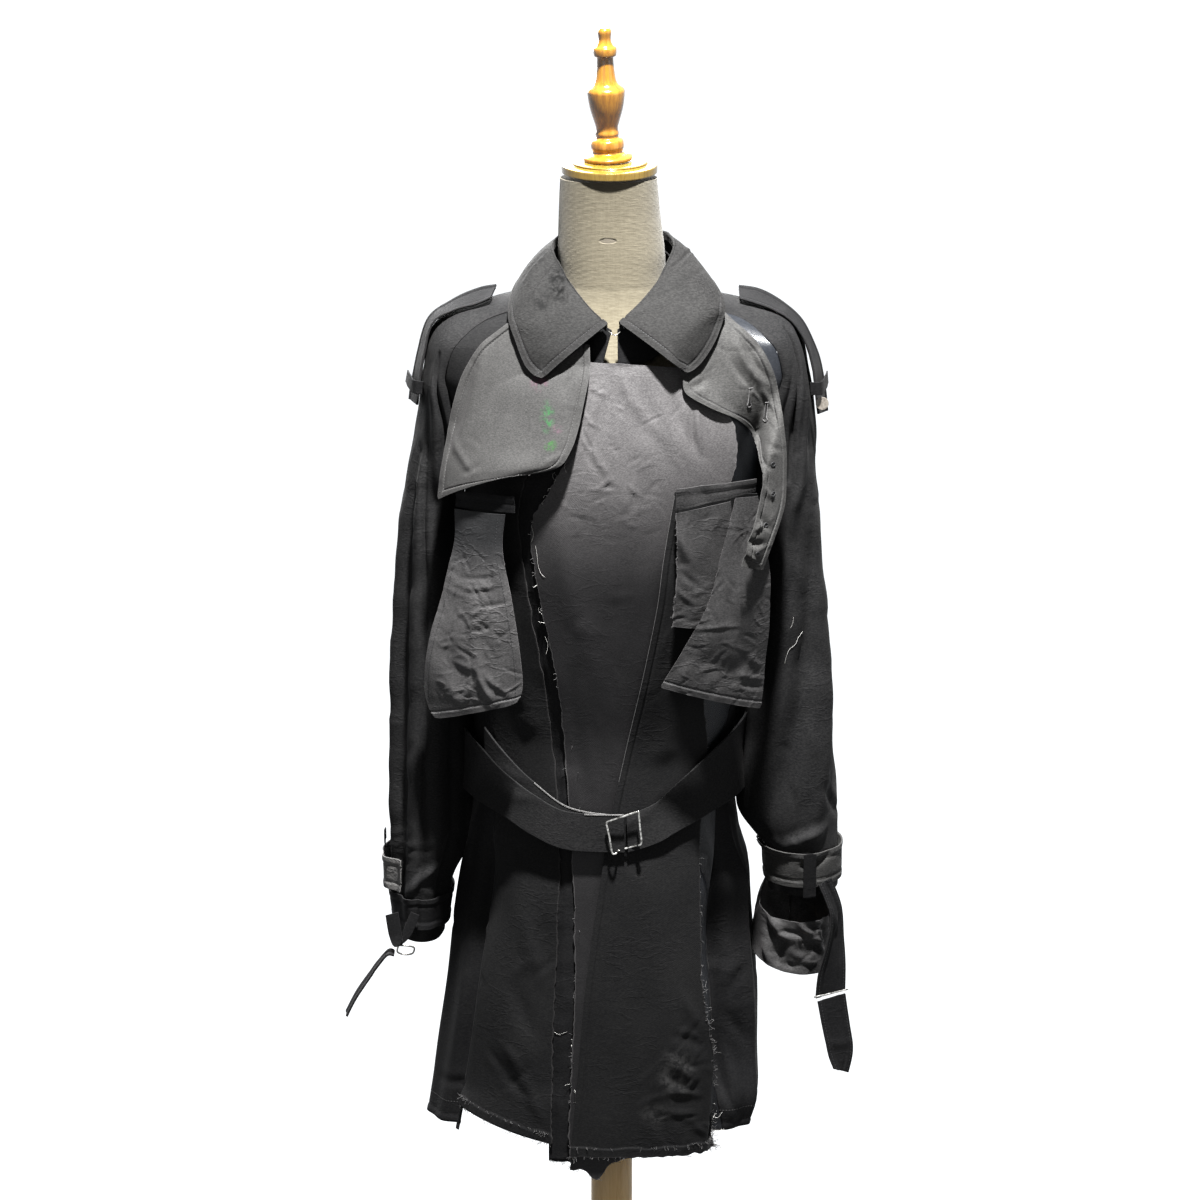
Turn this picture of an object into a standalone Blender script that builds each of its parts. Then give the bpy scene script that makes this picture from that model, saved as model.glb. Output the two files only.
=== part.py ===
"""Trench coat with cut-away fronts, worn by a limbless dress form on a turned stand.

Every cloth piece is a thin wall: a grid of points on its outer face, the same points moved in
by the cloth's thickness, and closed rims. Short tables give a row for each section.
Metres, +Z up, the coat faces -Y. The origin is under the base, on the pole's axis.
"""
import math

import bmesh
import bpy
from mathutils import Matrix, Vector

CLOTH = 0.0014          # one layer of coat cloth
STRAP = 0.0022          # belt, straps and epaulettes, two layers sewn together
SEAM_GAP = 0.0003
RAGLAN_GAP = 0.0012     # on the outer face; the inner faces come closer
SIDE_GAP_ANGLE = 0.006  # radians at the side seam
SIDE_ROWS = 11          # rows of a body panel below the armpit
FULLNESS = 2.3          # 2 is an ellipse, more is squarer
HEM_HEIGHT = 0.430
ARMPIT_STATION = 7      # row of the sleeve table where the strip closes round the arm
BASE_RADIUS = 0.190
BASE_THICKNESS = 0.022
POLE_RADIUS = 0.0232
FORM_BOTTOM = 0.720
CAP_LEAN = math.radians(5.0)

# how far each layer's outer face stands off the body
LAYERS = {"body": 0.0, "centre": 0.0034, "front": 0.0072, "pocket": 0.0102, "leaf": 0.0136,
          "chest": 0.0096, "belt_tail": 0.0104, "belt": 0.0140}

# height, half width, depth to the front, depth to the back, centre x
BODY_RINGS = [
    (1.400, 0.170, 0.062, 0.078, 0.000),
    (1.350, 0.200, 0.084, 0.092, 0.000),
    (1.300, 0.213, 0.108, 0.106, 0.000),
    (1.220, 0.207, 0.134, 0.116, 0.000),
    (1.160, 0.192, 0.144, 0.114, 0.000),
    (1.112, 0.178, 0.146, 0.110, 0.000),
    (1.050, 0.168, 0.145, 0.104, 0.000),
    (0.950, 0.154, 0.134, 0.092, -0.004),
    (0.870, 0.143, 0.122, 0.084, -0.009),
    (0.800, 0.146, 0.124, 0.094, -0.010),
    (0.700, 0.158, 0.132, 0.112, -0.008),
    (0.580, 0.173, 0.140, 0.128, -0.009),
    (0.480, 0.178, 0.144, 0.138, -0.016),
    (0.400, 0.182, 0.146, 0.142, -0.026),
]

# one sleeve: x and z of the ridge, x and z of the sewn edge, reach each side of the ridge
# in degrees, depth front and back, and how far the arm stands forward
SLEEVE_ROWS = {
    "right": [
        (-0.086, 1.357, -0.092, 1.343, 62, 0.052, 0.000),
        (-0.135, 1.344, -0.136, 1.330, 68, 0.062, 0.000),
        (-0.180, 1.328, -0.162, 1.311, 78, 0.074, 0.000),
        (-0.199, 1.306, -0.174, 1.292, 90, 0.076, 0.000),
        (-0.206, 1.262, -0.181, 1.256, 105, 0.074, 0.000),
        (-0.213, 1.212, -0.183, 1.205, 122, 0.069, 0.000),
        (-0.222, 1.160, -0.182, 1.155, 145, 0.066, 0.000),
        (-0.229, 1.120, -0.184, 1.112, 178.5, 0.064, 0.000),
        (-0.236, 1.030, -0.176, 1.025, 179.2, 0.063, -0.004),
        (-0.242, 0.900, -0.173, 0.898, 179.2, 0.062, -0.008),
        (-0.245, 0.780, -0.172, 0.779, 179.2, 0.061, -0.010),
        (-0.244, 0.700, -0.178, 0.700, 179.2, 0.060, -0.010),
        (-0.239, 0.640, -0.187, 0.636, 179.2, 0.058, -0.010),
    ],
    "left": [
        (0.092, 1.357, 0.098, 1.343, 62, 0.052, 0.000),
        (0.141, 1.345, 0.140, 1.331, 68, 0.062, 0.000),
        (0.186, 1.330, 0.166, 1.312, 78, 0.074, 0.000),
        (0.204, 1.309, 0.178, 1.294, 90, 0.076, 0.000),
        (0.215, 1.264, 0.184, 1.257, 105, 0.074, 0.000),
        (0.2215, 1.212, 0.186, 1.205, 122, 0.069, 0.000),
        (0.2235, 1.160, 0.183, 1.155, 145, 0.066, 0.000),
        (0.2255, 1.120, 0.184, 1.112, 178.5, 0.064, 0.000),
        (0.232, 1.030, 0.177, 1.025, 179.2, 0.063, -0.004),
        (0.243, 0.900, 0.166, 0.898, 179.2, 0.062, -0.008),
        (0.249, 0.800, 0.164, 0.800, 179.2, 0.061, -0.010),
        (0.252, 0.736, 0.170, 0.736, 179.2, 0.060, -0.010),
        (0.250, 0.692, 0.174, 0.690, 179.2, 0.058, -0.010),
    ],
}

# height and x of the seam between back and front, below the armpit
SIDE_SEAM = {
    "right": [(1.112, -0.1750), (1.030, -0.156), (0.940, -0.141), (0.860, -0.126), (0.787, -0.128),
              (0.696, -0.139), (0.582, -0.149), (0.484, -0.163), (0.430, -0.170)],
    "left": [(1.112, 0.1750), (1.030, 0.156), (0.940, 0.139), (0.860, 0.118), (0.787, 0.113),
             (0.696, 0.113), (0.582, 0.116), (0.484, 0.121), (0.430, 0.124)],
}

# body fronts: x and z where each row ends on the left and on the right, as it is looked at
INNER_FRONT = [
    (-0.042, 1.295, 0.070, 1.288),
    (-0.030, 1.262, 0.110, 1.250),
    (-0.041, 1.225, 0.129, 1.222),
    (-0.050, 1.193, 0.129, 1.178),
    (-0.066, 1.160, 0.110, 1.140),
    (-0.086, 1.118, 0.100, 1.100),
    (-0.077, 1.041, 0.090, 1.030),
    (-0.064, 0.980, 0.084, 0.970),
    (-0.056, 0.925, 0.078, 0.915),
    (-0.046, 0.800, 0.068, 0.800),
    (-0.041, 0.690, 0.060, 0.690),
    (-0.041, 0.590, 0.056, 0.590),
    (-0.046, 0.470, 0.050, 0.480),
    (-0.046, 0.402, 0.048, 0.425),
]
LEFT_FRONT = [
    (0.064, 1.160, 0.150, 1.150),
    (0.052, 1.086, 0.142, 1.080),
    (0.045, 1.030, 0.130, 1.020),
    (0.030, 0.950, 0.096, 0.940),
    (0.014, 0.875, 0.098, 0.873),
    (-0.002, 0.795, 0.093, 0.800),
    (-0.015, 0.710, 0.092, 0.710),
    (-0.028, 0.610, 0.095, 0.600),
    (-0.037, 0.505, 0.112, 0.500),
    (-0.045, 0.419, 0.115, 0.413),
]
# height and x of the seam between right front and its raw facing, then the facing's inner edge
RIGHT_FRONT_EDGE = [
    (1.325, -0.048), (1.262, -0.062), (1.190, -0.086), (1.139, -0.100), (1.041, -0.090),
    (0.953, -0.075), (0.831, -0.060), (0.740, -0.057), (0.640, -0.061), (0.540, -0.066), (0.434, -0.066),
]
# the raw facing's top, as a place along the side seam, and its width: height, width
FACING_TOP = 0.5
RIGHT_FACING_WIDTH = [
    (1.325, 0.044), (1.262, 0.046), (1.225, 0.047), (1.190, 0.050), (1.160, 0.046), (1.118, 0.028),
    (1.060, 0.022), (0.434, 0.022),
]
FACING_GAP = 0.0006
FACING_DROP = 0.020      # the raw facing hangs below the hem
LINING_INNER_EDGE = [
    (1.325, 0.066), (1.240, 0.085), (1.160, 0.075), (1.030, 0.064), (0.900, 0.060),
    (0.750, 0.056), (0.600, 0.056), (0.434, 0.060),
]

# hanging pieces: left end x, y, z, right end x, y, z, and the forward swell between
STORM_FLAP = [
    (-0.112, -0.066, 1.332, -0.024, -0.100, 1.312, 0.006),
    (-0.142, -0.072, 1.307, -0.024, -0.125, 1.285, 0.010),
    (-0.160, -0.082, 1.278, -0.030, -0.140, 1.255, 0.014),
    (-0.171, -0.086, 1.244, -0.036, -0.148, 1.228, 0.016),
    (-0.179, -0.090, 1.204, -0.044, -0.154, 1.206, 0.016),
    (-0.183, -0.092, 1.174, -0.058, -0.158, 1.189, 0.014),
    (-0.187, -0.094, 1.144, -0.096, -0.156, 1.180, 0.004),
]
CUT_FLAP_OUTER = [
    (0.117, -0.070, 1.342), (0.143, -0.076, 1.322), (0.158, -0.084, 1.306), (0.171, -0.092, 1.282),
    (0.179, -0.098, 1.250), (0.184, -0.102, 1.215), (0.186, -0.106, 1.180), (0.184, -0.116, 1.140),
    (0.169, -0.142, 1.098), (0.160, -0.150, 1.076),
]
CUT_FLAP_INNER = [
    (0.066, -0.118, 1.316), (0.074, -0.136, 1.282), (0.078, -0.146, 1.262), (0.104, -0.150, 1.246),
    (0.132, -0.146, 1.232), (0.150, -0.142, 1.211), (0.159, -0.140, 1.180), (0.157, -0.150, 1.150),
    (0.145, -0.168, 1.112), (0.137, -0.172, 1.084),
]
POCKET_BAND_RIGHT = [
    (-0.167, -0.116, 1.156, -0.104, -0.153, 1.156, 0.003),
    (-0.168, -0.116, 1.138, -0.104, -0.153, 1.138, 0.003),
]
POCKET_LEAF_RIGHT = [
    (-0.168, -0.116, 1.136, -0.114, -0.150, 1.136, 0.004),
    (-0.170, -0.118, 1.100, -0.117, -0.151, 1.098, 0.005),
    (-0.185, -0.116, 1.036, -0.107, -0.154, 1.043, 0.007),
    (-0.199, -0.112, 0.981, -0.099, -0.154, 0.988, 0.008),
    (-0.203, -0.108, 0.935, -0.096, -0.152, 0.950, 0.009),
    (-0.194, -0.110, 0.902, -0.099, -0.151, 0.930, 0.006),
]
POCKET_BAND_LEFT = [
    (0.068, -0.160, 1.166, 0.153, -0.134, 1.172, 0.003),
    (0.067, -0.160, 1.142, 0.153, -0.134, 1.158, 0.003),
]
POCKET_BACK_LEFT = [
    (0.067, -0.160, 1.139, 0.126, -0.146, 1.150, 0.002),
    (0.068, -0.160, 1.100, 0.128, -0.146, 1.100, 0.002),
    (0.067, -0.158, 1.060, 0.122, -0.147, 1.055, 0.002),
    (0.064, -0.156, 1.015, 0.115, -0.148, 1.010, 0.002),
]
POCKET_LEAF_LEFT = [
    (0.131, -0.150, 1.154, 0.155, -0.138, 1.154, 0.001),
    (0.117, -0.158, 1.100, 0.166, -0.136, 1.092, 0.004),
    (0.103, -0.163, 1.045, 0.169, -0.134, 1.042, 0.007),
    (0.081, -0.166, 1.002, 0.167, -0.130, 0.995, 0.009),
    (0.051, -0.166, 0.951, 0.160, -0.126, 0.918, 0.010),
]

# collar leaf, from the front edge on the wearer's right round the neck to the other:
# roll line x, y, z, outer edge x, y, z, and the outward swell between
COLLAR_FALL = [
    (-0.006, -0.108, 1.333, -0.076, -0.139, 1.277, 0.003),
    (-0.024, -0.094, 1.348, -0.092, -0.133, 1.290, 0.005),
    (-0.042, -0.075, 1.367, -0.103, -0.116, 1.315, 0.006),
    (-0.056, -0.050, 1.386, -0.111, -0.082, 1.340, 0.006),
    (-0.0668, -0.014, 1.403, -0.106, -0.014, 1.360, 0.005),
    (-0.057, 0.036, 1.409, -0.089, 0.058, 1.352, 0.007),
    (-0.034, 0.062, 1.412, -0.060, 0.106, 1.336, 0.010),
    (0.002, 0.070, 1.413, 0.002, 0.116, 1.328, 0.011),
    (0.038, 0.062, 1.413, 0.064, 0.106, 1.338, 0.010),
    (0.061, 0.036, 1.411, 0.093, 0.058, 1.355, 0.007),
    (0.0685, -0.014, 1.406, 0.110, -0.014, 1.363, 0.005),
    (0.059, -0.050, 1.389, 0.120, -0.080, 1.348, 0.006),
    (0.046, -0.075, 1.369, 0.112, -0.119, 1.320, 0.006),
    (0.027, -0.094, 1.350, 0.096, -0.136, 1.295, 0.005),
    (0.008, -0.108, 1.334, 0.080, -0.140, 1.282, 0.003),
]
# neck band under the leaf: upper edge x, y, z, sewn edge x, y, z
COLLAR_STAND = [
    (-0.001, -0.100, 1.326, -0.012, -0.105, 1.284, 0.0),
    (-0.018, -0.090, 1.336, -0.034, -0.100, 1.292, 0.0),
    (-0.036, -0.068, 1.352, -0.054, -0.088, 1.308, 0.0),
    (-0.051, -0.045, 1.370, -0.070, -0.062, 1.342, 0.0),
    (-0.0628, -0.012, 1.384, -0.076, -0.010, 1.352, 0.0),
    (-0.053, 0.033, 1.392, -0.066, 0.046, 1.354, 0.0),
    (-0.031, 0.056, 1.396, -0.040, 0.074, 1.352, 0.0),
    (0.002, 0.064, 1.398, 0.002, 0.082, 1.350, 0.0),
    (0.035, 0.056, 1.397, 0.044, 0.074, 1.352, 0.0),
    (0.057, 0.033, 1.393, 0.070, 0.046, 1.354, 0.0),
    (0.0645, -0.012, 1.386, 0.079, -0.010, 1.353, 0.0),
    (0.054, -0.045, 1.372, 0.073, -0.062, 1.343, 0.0),
    (0.040, -0.068, 1.354, 0.058, -0.088, 1.308, 0.0),
    (0.023, -0.090, 1.337, 0.036, -0.100, 1.292, 0.0),
    (0.006, -0.100, 1.327, 0.006, -0.105, 1.284, 0.0),
]

# epaulettes: x, y, z of the front edge, then of the back edge
EPAULETTES = {
    "right": [
        (-0.132, -0.028, 1.350, -0.126, 0.022, 1.357, 0.0),
        (-0.148, -0.030, 1.343, -0.146, 0.022, 1.353, 0.0),
        (-0.171, -0.032, 1.337, -0.175, 0.022, 1.340, 0.0),
        (-0.194, -0.036, 1.323, -0.201, 0.022, 1.320, 0.0),
        (-0.203, -0.042, 1.290, -0.212, 0.022, 1.284, 0.0),
        (-0.208, -0.046, 1.258, -0.219, 0.022, 1.252, 0.0),
        (-0.211, -0.046, 1.236, -0.222, 0.020, 1.231, 0.0),
    ],
    "left": [
        (0.138, -0.028, 1.349, 0.138, 0.022, 1.356, 0.0),
        (0.156, -0.030, 1.344, 0.160, 0.022, 1.352, 0.0),
        (0.176, -0.032, 1.336, 0.186, 0.022, 1.338, 0.0),
        (0.197, -0.036, 1.322, 0.208, 0.022, 1.317, 0.0),
        (0.213, -0.042, 1.292, 0.224, 0.022, 1.284, 0.0),
        (0.219, -0.046, 1.258, 0.232, 0.022, 1.252, 0.0),
        (0.223, -0.046, 1.226, 0.236, 0.020, 1.218, 0.0),
    ],
}
EPAULETTE_LOOPS = {
    "right": [(-0.204, -0.054, 1.263, -0.205, -0.054, 1.249, 0.0), (-0.214, -0.051, 1.264, -0.215, -0.051, 1.250, 0.0),
              (-0.220, -0.012, 1.264, -0.222, -0.012, 1.250, 0.0), (-0.224, 0.027, 1.262, -0.226, 0.027, 1.249, 0.0)],
    "left": [(0.213, -0.054, 1.262, 0.214, -0.054, 1.248, 0.0), (0.225, -0.051, 1.262, 0.226, -0.051, 1.248, 0.0),
             (0.232, -0.012, 1.262, 0.233, -0.012, 1.248, 0.0), (0.236, 0.027, 1.261, 0.237, 0.027, 1.248, 0.0)],
}

# belt: angle from the front in degrees, height of the top edge, height of the bottom edge
BELT = [
    (6, 0.803, 0.761), (-12, 0.806, 0.764), (-26, 0.823, 0.778), (-42, 0.844, 0.796), (-62, 0.868, 0.806),
    (-90, 0.882, 0.812), (-135, 0.896, 0.832), (-180, 0.902, 0.840), (-225, 0.900, 0.836),
    (-262, 0.896, 0.808), (-288, 0.888, 0.806), (-310, 0.868, 0.800), (-330, 0.838, 0.784),
    (-342, 0.814, 0.770), (-353, 0.803, 0.761),
]
BELT_TAIL = [
    (2, 0.802, 0.762), (-12, 0.811, 0.768), (-26, 0.835, 0.784), (-42, 0.862, 0.802), (-56, 0.886, 0.818),
]

# cuffs: heights of the cuff strap on the sleeve, as places along it, and the share of the turn
CUFF_STRAPS = {"right": (0.930, 0.972, -0.98, 0.98), "left": (0.908, 0.972, -0.98, 0.98)}
TURNED_CUFF_RIGHT = (0.882, 0.924, -0.30, 0.40)
# wearer's left: the loose end of the cuff hangs below the sleeve;
# angle from the front in degrees, top and bottom height, distance from its axis across and deep
CUFF_END_AXIS = (0.205, -0.012)
CUFF_END_LEFT = [
    (181, 0.668, 0.612, 0.040, 0.058), (240, 0.668, 0.626, 0.040, 0.057), (275, 0.669, 0.631, 0.041, 0.056),
    (315, 0.665, 0.614, 0.041, 0.056), (350, 0.662, 0.604, 0.040, 0.056), (385, 0.661, 0.600, 0.041, 0.056),
    (420, 0.660, 0.602, 0.040, 0.056), (450, 0.660, 0.614, 0.041, 0.056), (490, 0.664, 0.616, 0.041, 0.057),
    (539, 0.668, 0.612, 0.040, 0.058),
]
# hanging strap ends: one edge x, y, z, the other edge x, y, z
CUFF_STRANDS_RIGHT = [
    (-0.249, -0.079, 0.672, -0.235, -0.079, 0.676, 0.0), (-0.245, -0.079, 0.648, -0.232, -0.080, 0.654, 0.0),
    (-0.238, -0.082, 0.637, -0.230, -0.082, 0.642, 0.0), (-0.222, -0.079, 0.648, -0.229, -0.080, 0.656, 0.0),
    (-0.212, -0.078, 0.672, -0.221, -0.078, 0.676, 0.0),
]
CUFF_END_RIGHT = [
    (-0.240, -0.083, 0.628, -0.240, -0.071, 0.631, 0.0), (-0.249, -0.082, 0.627, -0.248, -0.066, 0.629, 0.0),
    (-0.264, -0.080, 0.606, -0.264, -0.062, 0.608, 0.0), (-0.281, -0.082, 0.581, -0.282, -0.064, 0.582, 0.0),
    (-0.293, -0.084, 0.558, -0.294, -0.068, 0.560, 0.0),
]
CUFF_DROP_LEFT = [
    (0.227, -0.076, 0.706, 0.241, -0.068, 0.712, 0.0), (0.240, -0.078, 0.670, 0.253, -0.060, 0.678, 0.0),
    (0.236, -0.080, 0.636, 0.256, -0.060, 0.640, 0.0), (0.228, -0.080, 0.606, 0.258, -0.064, 0.610, 0.0),
    (0.225, -0.0788, 0.577, 0.258, -0.0655, 0.582, 0.0),
]
CUFF_END_STRAP_LEFT = [
    (0.227, -0.084, 0.575, 0.258, -0.070, 0.580, 0.0), (0.233, -0.084, 0.544, 0.263, -0.070, 0.546, 0.0),
    (0.240, -0.084, 0.512, 0.267, -0.072, 0.516, 0.0), (0.246, -0.084, 0.497, 0.262, -0.074, 0.490, 0.0),
]
CUFF_LOOP_LEFT = [
    (0.210, -0.082, 0.742, 0.210, -0.078, 0.692, 0.0), (0.217, -0.081, 0.743, 0.217, -0.077, 0.692, 0.0),
    (0.224, -0.079, 0.742, 0.224, -0.075, 0.692, 0.0),
]
CUFF_LOOP_RIGHT = [
    (-0.2515, -0.024, 0.750, -0.2515, -0.024, 0.738, 0.0), (-0.2530, -0.010, 0.750, -0.2530, -0.010, 0.738, 0.0),
    (-0.2525, 0.004, 0.750, -0.2525, 0.004, 0.738, 0.0),
]

# dress form: height, half width, depth front, depth back, centre x, centre y
FORM_RINGS = [
    (0.720, 0.118, 0.088, 0.062, 0.000, 0.004), (0.780, 0.126, 0.094, 0.070, 0.000, 0.004),
    (0.860, 0.118, 0.086, 0.062, 0.000, 0.004), (0.960, 0.130, 0.102, 0.068, 0.000, 0.002),
    (1.080, 0.146, 0.124, 0.078, 0.000, 0.000), (1.160, 0.152, 0.122, 0.084, 0.000, 0.000),
    (1.240, 0.154, 0.106, 0.084, 0.000, 0.000), (1.290, 0.138, 0.086, 0.078, 0.000, 0.000),
    (1.318, 0.106, 0.072, 0.070, 0.000, 0.000), (1.338, 0.072, 0.064, 0.060, 0.000, 0.000),
    (1.362, 0.0596, 0.058, 0.054, 0.000, -0.001), (1.400, 0.0578, 0.054, 0.051, -0.001, -0.004),
    (1.440, 0.0548, 0.050, 0.049, -0.003, -0.008), (1.478, 0.0522, 0.048, 0.048, -0.004, -0.012),
]
CAP_PLACE = Vector((-0.003, -0.013, 1.4835))
FINIAL_PLACE = Vector((-0.0045, -0.013, 1.4845))
FINIAL_TILT = math.radians(1.5)
# turned profiles: height above the cap's underside, radius
CAP_PROFILE = [(0.0000, 0.0490), (0.0015, 0.0515), (0.0080, 0.0515), (0.0095, 0.0500),
               (0.0100, 0.0410), (0.0125, 0.0400), (0.0130, 0.0300)]
FINIAL_PROFILE = [
    (0.0133, 0.0262), (0.0165, 0.0268), (0.0190, 0.0225), (0.0215, 0.0165), (0.0280, 0.0178),
    (0.0345, 0.0168), (0.0375, 0.0122), (0.0420, 0.0126), (0.0462, 0.0118), (0.0500, 0.0122),
    (0.0560, 0.0140), (0.0700, 0.0180), (0.0840, 0.0200), (0.0900, 0.0192), (0.0960, 0.0125),
    (0.1060, 0.0100), (0.1240, 0.0088), (0.1260, 0.0118), (0.1340, 0.0122), (0.1370, 0.0088),
    (0.1430, 0.0066), (0.1520, 0.0072), (0.1555, 0.0050),
]


def clear_scene():
    for item in list(bpy.data.objects):
        bpy.data.objects.remove(item, do_unlink=True)


def make_material(name, colour, roughness, metallic=0.0):
    material = bpy.data.materials.new(name)
    material.use_nodes = True
    shader = material.node_tree.nodes["Principled BSDF"]
    shader.inputs["Base Color"].default_value = (*colour, 1.0)
    shader.inputs["Roughness"].default_value = roughness
    shader.inputs["Metallic"].default_value = metallic
    return material


FINISHES = {
    "coat": ((0.020, 0.020, 0.024), 0.85, 0.0),
    "raw": ((0.075, 0.068, 0.074), 0.75, 0.0),
    "satin": ((0.030, 0.032, 0.038), 0.35, 0.0),
    "metal": ((0.700, 0.700, 0.700), 0.25, 1.0),
    "button": ((0.450, 0.420, 0.380), 0.45, 0.0),
    "linen": ((0.610, 0.540, 0.420), 0.90, 0.0),
    "varnish": ((0.500, 0.220, 0.060), 0.30, 0.0),
    "pine": ((0.800, 0.600, 0.360), 0.50, 0.0),
}


def add_object(name, mesh, finish):
    mesh.materials.append(make_material(name + "_finish", *FINISHES[finish]))
    part = bpy.data.objects.new(name, mesh)
    bpy.context.scene.collection.objects.link(part)
    return part


def curve_through(rows, place):
    """A smooth curve through the rows, all columns at once; place runs from 0 to 1."""
    last = len(rows) - 1
    spot = min(max(place, 0.0), 1.0) * last
    start = min(int(spot), last - 1)
    part = spot - start
    before = rows[max(start - 1, 0)]
    here = rows[start]
    there = rows[start + 1]
    after = rows[min(start + 2, last)]
    values = []
    for a, b, c, d in zip(before, here, there, after):
        values.append(0.5 * (2 * b + (c - a) * part + (2 * a - 5 * b + 4 * c - d) * part ** 2
                             + (3 * b - a - 3 * c + d) * part ** 3))
    return values


def value_at(rows, key):
    """A smooth reading between the rows of a table whose first column falls."""
    if key >= rows[0][0]:
        return rows[0][1:]
    if key <= rows[-1][0]:
        return rows[-1][1:]
    start = max(k for k in range(len(rows) - 1) if rows[k][0] >= key)
    upper = rows[start]
    lower = rows[start + 1]
    step = upper[0] - lower[0]
    share = (upper[0] - key) / step
    values = []
    for column in range(1, len(upper)):
        slopes = []
        for spot in (start, start + 1):
            above = rows[max(spot - 1, 0)]
            below = rows[min(spot + 1, len(rows) - 1)]
            slopes.append((below[column] - above[column]) / (above[0] - below[0]) * step)
        a = upper[column]
        b = lower[column]
        values.append((2 * share ** 3 - 3 * share ** 2 + 1) * a + (share ** 3 - 2 * share ** 2 + share) * slopes[0]
                      + (3 * share ** 2 - 2 * share ** 3) * b + (share ** 3 - share ** 2) * slopes[1])
    return tuple(values)


def body_point(angle, height, lift=0.0):
    """A point on the coat's body; angle 0 is the front, 90 degrees is +X."""
    half, front, back, centre = value_at(BODY_RINGS, height)
    across = math.sin(angle)
    along = math.cos(angle)
    depth = (front if along > 0 else back) + lift
    x = centre + (half + lift) * math.copysign(abs(across) ** (2 / FULLNESS), across)
    y = -depth * math.copysign(abs(along) ** (2 / FULLNESS), along)
    return Vector((x, y, height))


def front_angle(x, height):
    half, _, _, centre = value_at(BODY_RINGS, height)
    share = min(max((x - centre) / half, -1.0), 1.0)
    return math.asin(math.copysign(abs(share) ** (FULLNESS / 2), share))


def front_depth(x, height, lift=0.0):
    """y of the body's front at x, or 0 past its side."""
    half, _, _, centre = value_at(BODY_RINGS, height)
    if abs(x - centre) >= half + lift:
        return 0.0
    return body_point(front_angle(x, height), height, lift).y


def sleeve_point(side, place, angle_share, lift=0.0):
    """A point on a sleeve; angle_share -1 is the front sewn edge, 0 the ridge, 1 the back edge."""
    ridge_x, ridge_z, edge_x, edge_z, reach, depth, forward = curve_through(SLEEVE_ROWS[side], place)
    reach = math.radians(reach)
    spread = 1 - math.cos(reach)
    out = Vector((ridge_x - edge_x, 0, ridge_z - edge_z)) / spread
    centre = Vector((ridge_x, forward, ridge_z)) - out
    turn = reach * angle_share
    grow = 1 + lift / out.length
    return centre + out * math.cos(turn) * grow + Vector((0, (depth + lift) * math.sin(turn), 0))


def body_places():
    """Where the rows of the body panels lie: one on each sleeve station, then down the side."""
    raglan = [k / ARMPIT_STATION for k in range(ARMPIT_STATION + 1)]
    return raglan + [1 + (k + 1) / SIDE_ROWS for k in range(SIDE_ROWS)]


def side_edge(side, face, place):
    """The body's edge: 0 to 1 down the raglan seam, 1 to 2 down the side seam."""
    sign = 1 if side == "left" else -1
    if place <= 1:
        share = place * ARMPIT_STATION / (len(SLEEVE_ROWS[side]) - 1)
        spot = sleeve_point(side, share, face)
        inward = Vector((-sign * 0.8, 0, -0.6)) * RAGLAN_GAP
        if place == 1:
            inward += Vector((0, face * RAGLAN_GAP, 0))
        return spot + inward
    top = side_edge(side, face, 1).z
    height = top + (HEM_HEIGHT - top) * (place - 1)
    x = value_at(SIDE_SEAM[side], height)[0]
    angle = front_angle(x, height)
    if face > 0:
        angle += sign * SIDE_GAP_ANGLE
    return body_point(angle, height)


def build_sheet(name, grid, thickness, finish, hub=None):
    """A closed wall from a grid of points on its outer face."""
    rows = len(grid)
    columns = len(grid[0])
    normals = []
    lean = 0.0
    for r in range(rows):
        line = []
        for c in range(columns):
            down = grid[min(r + 1, rows - 1)][c] - grid[max(r - 1, 0)][c]
            across = grid[r][min(c + 1, columns - 1)] - grid[r][max(c - 1, 0)]
            normal = down.cross(across).normalized()
            line.append(normal)
            middle = hub if hub else Vector((0, 0.02, grid[r][c].z))
            away = grid[r][c] - Vector((middle.x, middle.y, grid[r][c].z))
            lean += normal.dot(away)
        normals.append(line)
    side = 1 if lean > 0 else -1
    mesh = bpy.data.meshes.new(name)
    shape = bmesh.new()
    outer = [[shape.verts.new(grid[r][c]) for c in range(columns)] for r in range(rows)]
    inner = []
    for r in range(rows):
        inner.append([shape.verts.new(grid[r][c] - normals[r][c] * side * thickness) for c in range(columns)])
    for r in range(rows - 1):
        for c in range(columns - 1):
            shape.faces.new((outer[r][c], outer[r][c + 1], outer[r + 1][c + 1], outer[r + 1][c]))
            shape.faces.new((inner[r][c], inner[r + 1][c], inner[r + 1][c + 1], inner[r][c + 1]))
    rim = [(0, c) for c in range(columns)] + [(r, columns - 1) for r in range(1, rows)]
    rim += [(rows - 1, c) for c in range(columns - 2, -1, -1)] + [(r, 0) for r in range(rows - 2, 0, -1)]
    for (r, c), (r2, c2) in zip(rim, rim[1:] + rim[:1]):
        shape.faces.new((outer[r2][c2], outer[r][c], inner[r][c], inner[r2][c2]))
    bmesh.ops.recalc_face_normals(shape, faces=shape.faces)
    bmesh.ops.triangulate(shape, faces=shape.faces)
    shape.to_mesh(mesh)
    shape.free()
    return add_object(name, mesh, finish)


def front_sheet(name, table, layer, rows, columns, finish):
    """A panel on the body's front from rows of x and z at its two ends."""
    grid = []
    for r in range(rows):
        left_x, left_z, right_x, right_z = curve_through(table, r / (rows - 1))
        start = front_angle(left_x, left_z)
        end = front_angle(right_x, right_z)
        line = []
        for c in range(columns):
            share = c / (columns - 1)
            angle = start + (end - start) * share
            line.append(body_point(angle, left_z + (right_z - left_z) * share, layer))
        grid.append(line)
    return build_sheet(name, grid, CLOTH, finish)


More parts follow.
